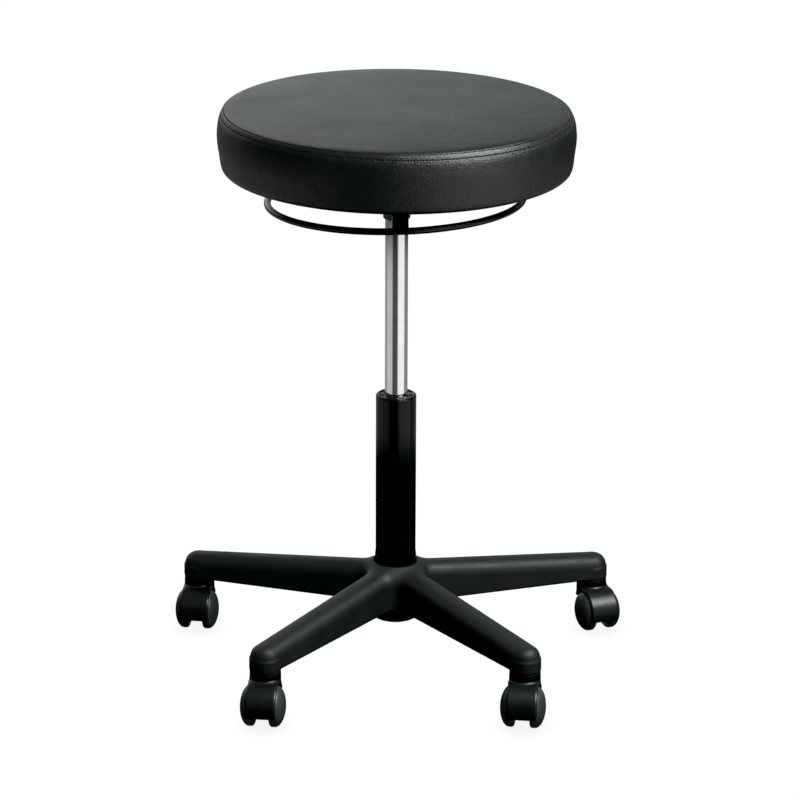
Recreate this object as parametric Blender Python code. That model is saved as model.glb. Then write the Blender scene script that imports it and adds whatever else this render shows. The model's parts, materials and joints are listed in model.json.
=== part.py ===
"""Rolling stylist stool: padded round seat, ring-released gas column, five-arm base on casters.

Metres, +Z up, front towards -Y, right towards +X. The origin is on the floor, in the middle of
the stool's footprint. The column's axis stands at x = 0, y = COLUMN_Y, and every piece hangs
from an empty on it. Outlines for turned pieces are lists of (radius, height) points.
"""

import math

import bmesh
import bpy
from mathutils import Matrix, Vector

# ---------------------------------------------------------------- shared dimensions
GAP = 0.0003  # clearance kept between neighbouring solids
OVERRUN = 0.002  # how far most cutters run past the faces they open
SMOOTH_ANGLE = math.radians(35.0)  # edges sharper than this stay sharp

COLUMN_Y = -0.0095  # the column stands this far in front of the footprint's middle

PIVOT_RADIUS = 0.2645  # column axis to caster stem
STEM_RADIUS = 0.0055
TUBE_RADIUS = 0.0250
CYLINDER_RADIUS = 0.0140
CYLINDER_TAPER_TOP_RADIUS = 0.0131
TAPER_BOTTOM_Z = 0.5642  # lower end of the socket on the gas cylinder
PLATE_BOTTOM_Z = 0.6233
PLATE_TOP_Z = 0.6258

BOLT_PITCH = 0.0600  # half the bolt square
BOLT_PLACES = [
    Matrix.Translation((side_x * BOLT_PITCH, side_y * BOLT_PITCH, 0.0))
    for side_x, side_y in ((1, 1), (-1, 1), (-1, -1), (1, -1))
]

# name: ((red, green, blue), roughness, metallic)
MATERIALS = {
    "base_nylon": ((0.020, 0.021, 0.021), 0.48, 0.0),
    "caster_nylon": ((0.028, 0.029, 0.029), 0.40, 0.0),
    "caster_wheel": ((0.030, 0.031, 0.031), 0.45, 0.0),
    "caster_washer": ((0.05, 0.05, 0.05), 0.35, 0.0),
    "zinc_steel": ((0.55, 0.55, 0.53), 0.35, 1.0),
    "tube_paint": ((0.010, 0.010, 0.010), 0.12, 0.0),
    "chrome": ((0.80, 0.81, 0.82), 0.06, 1.0),
    "bush_plastic": ((0.020, 0.020, 0.020), 0.45, 0.0),
    "buffer_rubber": ((0.03, 0.03, 0.03), 0.80, 0.0),
    "mechanism_paint": ((0.018, 0.018, 0.018), 0.38, 0.0),
    "ring_paint": ((0.016, 0.016, 0.016), 0.28, 0.0),
    "plywood": ((0.62, 0.45, 0.27), 0.60, 0.0),
    "foam": ((0.78, 0.72, 0.52), 0.95, 0.0),
    "seat_vinyl": ((0.022, 0.023, 0.023), 0.42, 0.0),
    "dust_cloth": ((0.015, 0.015, 0.015), 0.90, 0.0),
}


# ---------------------------------------------------------------- objects and materials
def clear_scene():
    for obj in list(bpy.data.objects):
        bpy.data.objects.remove(obj, do_unlink=True)


def get_material(name):
    """Find a material, or make it from the table."""
    found = bpy.data.materials.get(name)
    if found:
        return found
    color, roughness, metallic = MATERIALS[name]
    made = bpy.data.materials.new(name)
    made.use_nodes = True
    shader = made.node_tree.nodes["Principled BSDF"]
    shader.inputs["Base Color"].default_value = (*color, 1.0)
    shader.inputs["Roughness"].default_value = roughness
    shader.inputs["Metallic"].default_value = metallic
    return made


def make_mesh(name, shape, material=None):
    """Turn a bmesh into a shaded mesh with at most one material."""
    bmesh.ops.remove_doubles(shape, verts=shape.verts, dist=1e-6)
    bmesh.ops.recalc_face_normals(shape, faces=shape.faces)
    mesh = bpy.data.meshes.new(name)
    shape.to_mesh(mesh)
    shape.free()
    mesh.shade_smooth()
    mesh.set_sharp_from_angle(angle=SMOOTH_ANGLE)
    if material:
        mesh.materials.append(get_material(material))
    return mesh


def add_object(name, data, parent, matrix=None):
    obj = bpy.data.objects.new(name, data)
    bpy.context.scene.collection.objects.link(obj)
    obj.parent = parent
    if matrix is not None:
        obj.matrix_local = matrix
    return obj


def add_piece(name, shape, material, parent, matrix=None):
    return add_object(name, make_mesh(name, shape, material), parent, matrix)


def add_empty(name, location, parent=None, turn=0.0):
    obj = add_object(name, None, parent)
    obj.location = location
    obj.rotation_euler = (0.0, 0.0, turn)
    return obj


def combine(target, operation, name, shape, matrix=None):
    """Join, cut or trim a piece with a hidden helper that shares its parent."""
    helper = add_piece(name, shape, None, target.parent, matrix)
    helper.hide_render = True
    helper.display_type = "WIRE"
    modifier = target.modifiers.new(operation.lower(), "BOOLEAN")
    modifier.operation = operation
    modifier.object = helper
    modifier.solver = "EXACT"


def join(target, name, shape, matrix=None):
    combine(target, "UNION", name, shape, matrix)


def cut(target, name, shape, matrix=None):
    combine(target, "DIFFERENCE", name, shape, matrix)


# ---------------------------------------------------------------- shapes
def turned(profile, segments, phase=0.0):
    """Spin a closed profile about Z, starting at phase. Points on the axis close into poles."""
    bm = bmesh.new()
    start = Matrix.Rotation(phase, 3, "Z")
    verts = [bm.verts.new(start @ Vector((radius, 0.0, z))) for radius, z in profile]
    following = verts[1:] + verts[:1]
    edges = [bm.edges.new(pair) for pair in zip(verts, following)]
    # an edge lying on the axis would sweep no surface
    edges = [e for e in edges if any(v.co.xy.length >= 1e-9 for v in e.verts)]
    bmesh.ops.spin(
        bm, geom=verts + edges, cent=(0, 0, 0), axis=(0, 0, 1), dvec=(0, 0, 0),
        angle=2 * math.pi, steps=segments, use_merge=False,
    )
    bmesh.ops.remove_doubles(bm, verts=bm.verts, dist=1e-6)
    bmesh.ops.dissolve_degenerate(bm, dist=1e-7, edges=bm.edges)
    loose = [e for e in bm.edges if not e.link_faces]
    bmesh.ops.delete(bm, geom=loose, context="EDGES")
    bmesh.ops.recalc_face_normals(bm, faces=bm.faces)
    return bm


def collar(inner, outer, low, high, segments, phase=0.0):
    """Plain ring of rectangular section about Z."""
    profile = [(inner, low), (outer, low), (outer, high), (inner, high)]
    return turned(profile, segments, phase)


def disc(radius, low, high, segments, phase=0.0):
    """Plain solid cylinder about Z."""
    return collar(0.0, radius, low, high, segments, phase)


def laid_along_x(bm):
    """Turn a shape so that its +Z points along +X."""
    turn = Matrix.Rotation(math.pi / 2, 3, "Y")
    bmesh.ops.rotate(bm, verts=bm.verts, cent=(0, 0, 0), matrix=turn)
    return bm


def prism(outline, low, high, axis="Z"):
    """Extrude an (x, y) outline along Z, or a (y, z) outline along X."""
    def place(first, second, along):
        return (first, second, along) if axis == "Z" else (along, first, second)

    bm = bmesh.new()
    face = bm.faces.new([bm.verts.new(place(first, second, low)) for first, second in outline])
    extruded = bmesh.ops.extrude_face_region(bm, geom=[face])["geom"]
    moved = [item for item in extruded if isinstance(item, bmesh.types.BMVert)]
    bmesh.ops.translate(bm, verts=moved, vec=Vector(place(0.0, 0.0, high - low)))
    bmesh.ops.recalc_face_normals(bm, faces=bm.faces)
    return bm


def box(low, high):
    outline = [(low[0], low[1]), (high[0], low[1]), (high[0], high[1]), (low[0], high[1])]
    return prism(outline, low[2], high[2])


def loft(sections):
    """Skin a row of sections that have the same number of points, and cap both ends."""
    bm = bmesh.new()
    rows = [[bm.verts.new(point) for point in section] for section in sections]
    bm.faces.new(rows[0])
    bm.faces.new(rows[-1])
    count = len(rows[0])
    for near, far in zip(rows, rows[1:]):
        for i in range(count):
            after = (i + 1) % count
            bm.faces.new((near[i], near[after], far[after], far[i]))
    bmesh.ops.recalc_face_normals(bm, faces=bm.faces)
    return bm


def arc(radius, start_deg, stop_deg, steps):
    angles = [math.radians(start_deg + (stop_deg - start_deg) * i / steps) for i in range(steps + 1)]
    return [(radius * math.cos(angle), radius * math.sin(angle)) for angle in angles]


def arc_band(outer, inner, start_deg, stop_deg, steps):
    """Outline of a curved strip between two radii."""
    return arc(outer, start_deg, stop_deg, steps) + arc(inner, stop_deg, start_deg, steps)


def rounded_rectangle(half_x, half_y, corner):
    points = []
    for side_x, side_y, start in ((1, 1, 0), (-1, 1, 90), (-1, -1, 180), (1, -1, 270)):
        for x, y in arc(corner, start, start + 90, steps=3):
            points.append((side_x * (half_x - corner) + x, side_y * (half_y - corner) + y))
    return points


def pivot_point(angle):
    """Place of a caster stem's axis on the floor, at an angle about the column."""
    return Vector((PIVOT_RADIUS * math.cos(angle), PIVOT_RADIUS * math.sin(angle), 0.0))


# ---------------------------------------------------------------- base
ARM_COUNT = 5
BACK_ARM_DEG = 90.0
ARM_START = 0.0200  # reach at which an arm begins, inside the hub
ARM_BOTTOM_Z = 0.0655
ARM_TOP_AT_AXIS_Z = 0.1167
ARM_TOP_SLOPE = 0.0816  # drop of the arm's top per metre of reach
ARM_HALF_WIDTH = 0.0188
ARM_TOP_HALF_WIDTH = 0.0180
CROWN_STEPS = 6
CROWN_POWER = 0.80  # below 1 fills the crown's shoulders
ARM_WALL = 0.0040
HOLLOW_DROP = 0.0040  # the hollows' cutters run this far below the arm
RIB_START = 0.1380  # reach of the cross rib's near and far faces
RIB_END = 0.1430

SOCKET_RADIUS = 0.0192
SOCKET_BOTTOM_Z = 0.0640
SOCKET_TOP_Z = ARM_TOP_AT_AXIS_Z - ARM_TOP_SLOPE * PIVOT_RADIUS + 0.0004
SOCKET_TURN = 0.05  # turns the socket's facets off the arm's, in radians
STEM_BORE_TOP_Z = 0.0880

HUB_RADIUS = 0.0385
HUB_BOSS_RADIUS = 0.0285
HUB_BOTTOM_Z = 0.0450
HUB_TOP_Z = 0.1185
HUB_PROFILE = [
    (0.0, HUB_BOTTOM_Z),
    (HUB_BOSS_RADIUS - 0.002, HUB_BOTTOM_Z),
    (HUB_BOSS_RADIUS, HUB_BOTTOM_Z + 0.002),
    (HUB_BOSS_RADIUS + 0.0020, ARM_BOTTOM_Z - 0.0020),
    (HUB_RADIUS, ARM_BOTTOM_Z + 0.0020),
    (HUB_RADIUS, 0.1000),
    (HUB_RADIUS - 0.0022, 0.1085),
    (HUB_RADIUS - 0.0060, 0.1140),
    (TUBE_RADIUS + 0.0022, HUB_TOP_Z),
    (0.0, HUB_TOP_Z),
]
SOCKET_PROFILE = [
    (0.0, SOCKET_BOTTOM_Z),
    (SOCKET_RADIUS, SOCKET_BOTTOM_Z),
    (SOCKET_RADIUS, SOCKET_TOP_Z - 0.0160),
    (SOCKET_RADIUS - 0.0026, SOCKET_TOP_Z - 0.0075),
    (SOCKET_RADIUS - 0.0090, SOCKET_TOP_Z - 0.0016),
    (0.0, SOCKET_TOP_Z),
]


def arm_section(reach, shrink, drop):
    """Arm's (across, height) section at a reach: drafted sides under a round crown."""
    top = ARM_TOP_AT_AXIS_Z - ARM_TOP_SLOPE * reach - shrink
    foot = ARM_HALF_WIDTH - shrink
    side = ARM_TOP_HALF_WIDTH - shrink
    bottom = ARM_BOTTOM_Z - drop
    points = [(foot, bottom)]
    for i in range(CROWN_STEPS + 1):
        angle = math.pi * i / CROWN_STEPS
        cosine = math.cos(angle)
        across = side * math.copysign(abs(cosine) ** CROWN_POWER, cosine)
        points.append((across, top - side + side * math.sin(angle) ** CROWN_POWER))
    points.append((-foot, bottom))
    return points


def arm_solid(inner, outer, angle, shrink=0.0, drop=0.0):
    """Arm between two reaches; shrink and drop make the cutter for its hollow."""
    turn = Matrix.Rotation(angle, 4, "Z")
    return loft([
        [turn @ Vector((reach, across, z)) for across, z in arm_section(reach, shrink, drop)]
        for reach in (inner, outer)
    ])


def build_base(parent):
    base = add_piece("base", turned(HUB_PROFILE, segments=24), "base_nylon", parent)
    angles = [math.radians(BACK_ARM_DEG + 360.0 / ARM_COUNT * i) for i in range(ARM_COUNT)]
    for i, angle in enumerate(angles):
        join(base, f"guide_arm_{i}", arm_solid(ARM_START, PIVOT_RADIUS, angle))
    for i, angle in enumerate(angles):
        socket = turned(SOCKET_PROFILE, segments=14, phase=angle + SOCKET_TURN)
        join(base, f"guide_end_{i}", socket, Matrix.Translation(pivot_point(angle)))

    # the arms are open underneath: a hollow on either side of a cross rib
    hollows = (
        (HUB_RADIUS + 0.004, RIB_START),
        (RIB_END, PIVOT_RADIUS - SOCKET_RADIUS - 0.0018),
    )
    for i, angle in enumerate(angles):
        for k, (inner, outer) in enumerate(hollows):
            hollow = arm_solid(inner, outer, angle, shrink=ARM_WALL, drop=HOLLOW_DROP)
            cut(base, f"cut_arm_{i}_{k}", hollow)
        bore = disc(
            STEM_RADIUS + 0.0008, SOCKET_BOTTOM_Z - OVERRUN, STEM_BORE_TOP_Z,
            segments=8, phase=angle,
        )
        cut(base, f"cut_bore_{i}", bore, Matrix.Translation(pivot_point(angle)))
    tube_bore = disc(TUBE_RADIUS + GAP + 0.0002, 0.030, 0.140, segments=24, phase=math.pi / 24)
    cut(base, "cut_hub", tube_bore)


# ---------------------------------------------------------------- casters
# name, arm's angle, and swivel away from trailing straight towards the front;
# both in degrees, anticlockwise seen from above
CASTERS = (
    ("right", 18.0, 20.5),
    ("back", 90.0, 0.0),
    ("left", 162.0, -6.6),
    ("front_left", 234.0, -6.6),
    ("front_right", 306.0, -7.2),
)
CASTER_TRAIL = 0.0200
CASTER_SIDES = (("a", 1.0), ("b", -1.0))  # wheel on the swivel's +X side, then on its -X side

AXLE_RADIUS = 0.0030
AXLE_BORE_RADIUS = AXLE_RADIUS + 0.0001
AXLE_HALF_LENGTH = 0.0222

WHEEL_RADIUS = 0.0250  # axle to the middle of a flat
WHEEL_SEGMENTS = 18
WHEEL_RIM = WHEEL_RADIUS / math.cos(math.pi / WHEEL_SEGMENTS)  # axle to a corner between flats
# distances along the axle, from the caster's middle
WHEEL_INNER = 0.0093
WHEEL_TREAD_IN = 0.0128
WHEEL_TREAD_OUT = 0.0168
WHEEL_OUTER = 0.0275
WHEEL_DOME_START = WHEEL_TREAD_OUT - 0.0010
WHEEL_DOME_RADII = (0.0210, 0.0130)
WHEEL_HUB_RADIUS = 0.0062
# (radius, distance along the axle) of the wheel's hollow, from the bore's blind end to the rim
WHEEL_HOLLOW = [
    (0.0, 0.0225), (AXLE_BORE_RADIUS, 0.0225), (AXLE_BORE_RADIUS, WHEEL_INNER),
    (WHEEL_HUB_RADIUS, WHEEL_INNER), (WHEEL_HUB_RADIUS, 0.0228),
    (0.0180, 0.0190), (0.0218, WHEEL_INNER),
]

HOOD_RADIUS = 0.0285
WHEEL_ROOM_RADIUS = 0.0263
HOOD_INNER = WHEEL_ROOM_RADIUS - 0.0025  # before the wheels' room is cut
HOOD_HALF_WIDTH = 0.0190
WEB_RADIUS = HOOD_RADIUS - 0.001
WEB_HALF_WIDTH = 0.0096  # before the wheels' room is cut from both sides
WEB_FACE = 0.0088
ROOM_END = 0.0300  # how far the room and axle cutters reach sideways
# (y, z) from the axle: the web's outline beyond its arc, round the neck's back to the bottom
WEB_TAIL = [
    (CASTER_TRAIL + 0.012, 0.0268), (CASTER_TRAIL + 0.012, 0.006),
    (0.0100, -0.0095), (0.0, -0.0138), (-0.0100, -0.0095),
]
NECK_RADIUS = 0.0190
NECK_BOTTOM_Z = 0.0410
NECK_TOP_Z = 0.0603
NECK_PROFILE = [
    (0.0, NECK_BOTTOM_Z),
    (NECK_RADIUS - 0.0030, NECK_BOTTOM_Z),
    (NECK_RADIUS, 0.0450),
    (NECK_RADIUS, NECK_TOP_Z - 0.0006),
    (NECK_RADIUS - 0.0006, NECK_TOP_Z),
    (0.0, NECK_TOP_Z),
]
STEM_BOTTOM_Z = 0.0434
STEM_TOP_Z = 0.0876
# plain shank with a shallow groove near its top
STEM_PROFILE = [
    (0.0, STEM_BOTTOM_Z),
    (STEM_RADIUS, STEM_BOTTOM_Z),
    (STEM_RADIUS, 0.0800),
    (STEM_RADIUS - 0.0012, 0.0806),
    (STEM_RADIUS - 0.0012, 0.0824),
    (STEM_RADIUS, 0.0830),
    (STEM_RADIUS, 0.0858),
    (STEM_RADIUS - 0.0018, STEM_TOP_Z),
    (0.0, STEM_TOP_Z),
]
WASHER_RADIUS = 0.0188
WASHER_BOTTOM_Z = 0.0606
WASHER_TOP_Z = 0.0637


def wheel_mesh(side, sign):
    """Domed shell open on its inner side, with a hub for the axle; a flat rests on the floor."""
    profile = [
        (WHEEL_RIM - 0.0020, WHEEL_INNER),
        (WHEEL_RIM, WHEEL_TREAD_IN),
        (WHEEL_RIM, WHEEL_TREAD_OUT),
    ]
    for radius in WHEEL_DOME_RADII:
        bulge = math.sqrt(1 - (radius / WHEEL_RADIUS) ** 2)
        along = WHEEL_DOME_START + (WHEEL_OUTER - WHEEL_DOME_START) * bulge
        profile.append((radius, along))
    profile += [(0.0, WHEEL_OUTER)] + WHEEL_HOLLOW
    profile = [(radius, sign * along) for radius, along in profile]
    shape = laid_along_x(turned(profile, WHEEL_SEGMENTS, phase=math.pi / WHEEL_SEGMENTS))
    return make_mesh(f"wheel_mesh_{side}", shape, "caster_wheel")


def build_hood(name, swivel, axle_place):
    """Cover over both wheels, joined to the web between them and to the neck on the stem."""
    # angles run from +Y: low at the front, over the top, to the neck's back
    cover = arc_band(HOOD_RADIUS, HOOD_INNER, start_deg=193.0, stop_deg=33.0, steps=8)
    hood = add_piece(
        f"caster_hood_{name}", prism(cover, -HOOD_HALF_WIDTH, HOOD_HALF_WIDTH, "X"),
        "caster_nylon", swivel, axle_place,
    )
    web = arc(WEB_RADIUS, start_deg=190, stop_deg=70, steps=6) + WEB_TAIL
    web_shape = prism(web, -WEB_HALF_WIDTH, WEB_HALF_WIDTH, "X")
    join(hood, f"guide_web_{name}", web_shape, axle_place)
    join(hood, f"guide_neck_{name}", turned(NECK_PROFILE, segments=14))
    for side, sign in CASTER_SIDES:
        room = disc(WHEEL_ROOM_RADIUS, sign * WEB_FACE, sign * ROOM_END, segments=18)
        cut(hood, f"cut_wheel_{side}_{name}", laid_along_x(room), axle_place)
    axle_bore = disc(AXLE_BORE_RADIUS, -ROOM_END, ROOM_END, segments=10)
    cut(hood, f"cut_axle_{name}", laid_along_x(axle_bore), axle_place)
    stem_bore = disc(STEM_RADIUS + 0.0007, STEM_BOTTOM_Z - 0.0004, 0.0700, segments=8)
    cut(hood, f"cut_stem_{name}", stem_bore)


def build_caster(name, swivel, wheels):
    axle_place = Matrix.Translation((0.0, -CASTER_TRAIL, WHEEL_RADIUS))
    build_hood(name, swivel, axle_place)

    # axle, through the web into both wheels
    axle = disc(AXLE_RADIUS - 0.0002, -AXLE_HALF_LENGTH, AXLE_HALF_LENGTH, segments=10)
    add_piece(f"caster_axle_{name}", laid_along_x(axle), "zinc_steel", swivel, axle_place)
    for side, mesh in wheels.items():
        add_object(f"wheel_{name}_{side}", mesh, swivel, axle_place)

    # stem, from the neck up into the arm's socket
    add_piece(f"caster_stem_{name}", turned(STEM_PROFILE, segments=10), "zinc_steel", swivel)
    washer = collar(
        STEM_RADIUS + 0.0006, WASHER_RADIUS, WASHER_BOTTOM_Z, WASHER_TOP_Z, segments=16
    )
    add_piece(f"caster_washer_{name}", washer, "caster_washer", swivel)


def build_casters(parent):
    wheels = {side: wheel_mesh(side, sign) for side, sign in CASTER_SIDES}
    for name, arm_deg, swivel_deg in CASTERS:
        place = pivot_point(math.radians(arm_deg))
        swivel = add_empty(f"swivel_{name}", place, parent, math.radians(swivel_deg))
        build_caster(name, swivel, wheels)


# ---------------------------------------------------------------- column
TUBE_INNER = TUBE_RADIUS - 0.0018
TUBE_BOTTOM_Z = 0.0462
TUBE_FLOOR_Z = TUBE_BOTTOM_Z + 0.0030
TUBE_TOP_Z = 0.3380
BUSH_BOTTOM_Z = 0.2650
BUSH_INNER = CYLINDER_RADIUS + GAP
BUSH_OUTER = TUBE_INNER - GAP

ROD_RADIUS = 0.0050
ROD_BOTTOM_Z = 0.0400
ROD_TOP_Z = 0.3335
ROD_TIP_RADIUS = 0.0030  # thin upper end that carries the piston
PISTON_SEAT_Z = 0.3160
PISTON_RADIUS = 0.0119
PISTON_FACE_RADIUS = 0.0100
PISTON_TOP_Z = 0.3300
GROOVE_Z = TUBE_BOTTOM_Z - 0.0034
GROOVE_TOP_Z = GROOVE_Z + 0.0022
GROOVE_RADIUS = ROD_RADIUS - 0.0012
CLIP_RADIUS = 0.0105

RACE_RADIUS = 0.0150
RACE_THICKNESS = 0.0025
BALL_COUNT = 6
BALL_RADIUS = 0.0020
BALL_CIRCLE = 0.0105
BALL_TURN = 0.2  # extra turn of each ball's facets, in radians
CAGE_HALF_THICKNESS = 0.0010
BUFFER_RADIUS = 0.0125

CYLINDER_BORE = CYLINDER_RADIUS - 0.0018
CYLINDER_BOTTOM_Z = 0.2800
CYLINDER_TOP_Z = 0.6030
SEAL_TOP_Z = 0.3010
PIN_RADIUS = 0.0040
PIN_BOTTOM_Z = 0.5850
PIN_TOP_Z = 0.6105


def build_tube(parent):
    """Outer tube with a holed floor, and the bush that guides the cylinder in its top."""
    tube = [
        (ROD_RADIUS + 0.0010, TUBE_BOTTOM_Z),
        (TUBE_RADIUS - 0.0020, TUBE_BOTTOM_Z),
        (TUBE_RADIUS, TUBE_BOTTOM_Z + 0.0020),
        (TUBE_RADIUS, TUBE_TOP_Z - 0.0006),
        (TUBE_RADIUS - 0.0006, TUBE_TOP_Z),
        (TUBE_INNER, TUBE_TOP_Z),
        (TUBE_INNER, TUBE_FLOOR_Z),
        (ROD_RADIUS + 0.0010, TUBE_FLOOR_Z),
    ]
    add_piece("outer_tube", turned(tube, segments=24), "tube_paint", parent)
    bush = [
        (BUSH_INNER, BUSH_BOTTOM_Z),
        (BUSH_OUTER, BUSH_BOTTOM_Z),
        (BUSH_OUTER, TUBE_TOP_Z + 0.0002),
        (BUSH_OUTER - 0.0008, TUBE_TOP_Z + 0.0012),
        (BUSH_INNER + 0.0012, TUBE_TOP_Z + 0.0012),
        (BUSH_INNER, TUBE_TOP_Z),
    ]
    add_piece("guide_bush", turned(bush, segments=24), "bush_plastic", parent)


def build_ball_cage(parent, middle_z):
    cage = add_piece(
        "bearing_ball_cage",
        collar(
            0.0062, RACE_RADIUS - 0.0002,
            middle_z - CAGE_HALF_THICKNESS, middle_z + CAGE_HALF_THICKNESS, segments=18,
        ),
        "zinc_steel", parent,
    )
    for i in range(BALL_COUNT):
        ball = bmesh.new()
        bmesh.ops.create_icosphere(ball, subdivisions=1, radius=BALL_RADIUS)
        angle = 2 * math.pi * i / BALL_COUNT
        centre = (BALL_CIRCLE * math.cos(angle), BALL_CIRCLE * math.sin(angle), middle_z)
        place = Matrix.Translation(centre) @ Matrix.Rotation(angle + BALL_TURN, 4, "Z")
        join(cage, f"guide_ball_{i}", ball, place)


def build_bearing(parent):
    """Thrust bearing and rubber buffer, stacked upwards from the tube's floor."""
    z = TUBE_FLOOR_Z + GAP
    lower_race = collar(0.0060, RACE_RADIUS, z, z + RACE_THICKNESS, segments=16)
    add_piece("bearing_lower_race", lower_race, "zinc_steel", parent)
    z += RACE_THICKNESS + GAP
    build_ball_cage(parent, z + BALL_RADIUS)
    z += 2 * BALL_RADIUS + GAP
    upper_race = collar(ROD_RADIUS + GAP, RACE_RADIUS, z, z + RACE_THICKNESS, segments=16)
    add_piece("bearing_upper_race", upper_race, "zinc_steel", parent)
    z += RACE_THICKNESS + GAP
    rubber = [
        (ROD_RADIUS + GAP, z),
        (BUFFER_RADIUS, z),
        (BUFFER_RADIUS, z + 0.0120),
        (BUFFER_RADIUS - 0.0020, z + 0.0150),
        (ROD_RADIUS + GAP, z + 0.0150),
    ]
    add_piece("buffer", turned(rubber, segments=16), "buffer_rubber", parent)


def build_piston(parent):
    """Piston rod with a groove below the tube's floor, the piston on its top, and the clip."""
    rod = [
        (0.0, ROD_BOTTOM_Z),
        (ROD_RADIUS - 0.0005, ROD_BOTTOM_Z),
        (ROD_RADIUS, ROD_BOTTOM_Z + 0.0005),
        (ROD_RADIUS, GROOVE_Z),
        (GROOVE_RADIUS, GROOVE_Z),
        (GROOVE_RADIUS, GROOVE_TOP_Z),
        (ROD_RADIUS, GROOVE_TOP_Z),
        (ROD_RADIUS, PISTON_SEAT_Z),
        (ROD_TIP_RADIUS, PISTON_SEAT_Z),
        (ROD_TIP_RADIUS, ROD_TOP_Z),
        (0.0, ROD_TOP_Z),
    ]
    add_piece("piston_rod", turned(rod, segments=12), "chrome", parent)
    piston = [
        (ROD_TIP_RADIUS + GAP, PISTON_SEAT_Z + GAP),
        (PISTON_FACE_RADIUS, PISTON_SEAT_Z + GAP),
        (PISTON_RADIUS, 0.3175),
        (PISTON_RADIUS, 0.3290),
        (PISTON_FACE_RADIUS, PISTON_TOP_Z),
        (ROD_TIP_RADIUS + GAP, PISTON_TOP_Z),
    ]
    add_piece("piston", turned(piston, segments=16), "zinc_steel", parent)

    # flat ring in the rod's groove, with its mouth towards the front
    clip = arc_band(CLIP_RADIUS, GROOVE_RADIUS + 0.0001, start_deg=-60, stop_deg=240, steps=14)
    shape = prism(clip, GROOVE_Z + GAP, GROOVE_TOP_Z - GAP)
    add_piece("retaining_clip", shape, "zinc_steel", parent)


def build_cylinder(parent):
    """Gas cylinder, its seal round the rod, and the release pin in its top."""
    # open at the bottom for the seal, a valve block with the pin's bore at the top
    cylinder = [
        (CYLINDER_BORE, CYLINDER_BOTTOM_Z),
        (CYLINDER_RADIUS - 0.0010, CYLINDER_BOTTOM_Z),
        (CYLINDER_RADIUS, CYLINDER_BOTTOM_Z + 0.0010),
        (CYLINDER_RADIUS, TAPER_BOTTOM_Z + 0.0010),
        (CYLINDER_TAPER_TOP_RADIUS, CYLINDER_TOP_Z - 0.0010),
        (CYLINDER_TAPER_TOP_RADIUS - 0.0010, CYLINDER_TOP_Z),
        (PIN_RADIUS + GAP, CYLINDER_TOP_Z),
        (PIN_RADIUS + GAP, 0.5600),
        (CYLINDER_BORE, 0.5560),
    ]
    add_piece("gas_cylinder", turned(cylinder, segments=24), "chrome", parent)
    seal = collar(
        ROD_RADIUS + GAP, CYLINDER_BORE - GAP, CYLINDER_BOTTOM_Z + 0.0010, SEAL_TOP_Z, segments=16
    )
    add_piece("rod_seal", seal, "buffer_rubber", parent)
    pin = [
        (0.0, PIN_BOTTOM_Z),
        (PIN_RADIUS, PIN_BOTTOM_Z),
        (PIN_RADIUS, PIN_TOP_Z - 0.0010),
        (PIN_RADIUS - 0.0010, PIN_TOP_Z),
        (0.0, PIN_TOP_Z),
    ]
    add_piece("release_pin", turned(pin, segments=12), "zinc_steel", parent)


# ---------------------------------------------------------------- seat mechanism
SOCKET_OUTER = 0.0166
FLANGE_RADIUS = 0.0215
PLATE_HALF = 0.0750
PLATE_CORNER = 0.0120
PLATE_HOLE_RADIUS = 0.0035
PIN_HOLE_RADIUS = 0.0138
HOUSING_HALF_X = 0.0300
HOUSING_HALF_Y = 0.0305
HOUSING_CORNER = 0.0060
HOUSING_WALL = 0.0020
HOUSING_FLOOR_Z = 0.6023
HOUSING_FLOOR_THICKNESS = 0.0016
SLOT_X = (-0.0080, 0.0160)
SLOT_TOP_Z = 0.6152
# name, low y, high y, low z
SLOTS = (
    ("front", -HOUSING_HALF_Y - 0.003, -HOUSING_HALF_Y + 0.004, 0.6065),
    ("back", HOUSING_HALF_Y - 0.004, HOUSING_HALF_Y + 0.003, 0.6045),
)


def build_taper_socket(parent):
    """Socket round the cylinder's tapered end, flanged under the housing."""
    top = HOUSING_FLOOR_Z - GAP
    socket = [
        (CYLINDER_RADIUS + GAP, TAPER_BOTTOM_Z),
        (SOCKET_OUTER - 0.0012, TAPER_BOTTOM_Z),
        (SOCKET_OUTER, TAPER_BOTTOM_Z + 0.0014),
        (SOCKET_OUTER + 0.0004, 0.5985),
        (FLANGE_RADIUS, 0.5990),
        (FLANGE_RADIUS, top),
        (CYLINDER_TAPER_TOP_RADIUS + GAP, top),
    ]
    add_piece("taper_socket", turned(socket, segments=24), "mechanism_paint", parent)


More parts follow.
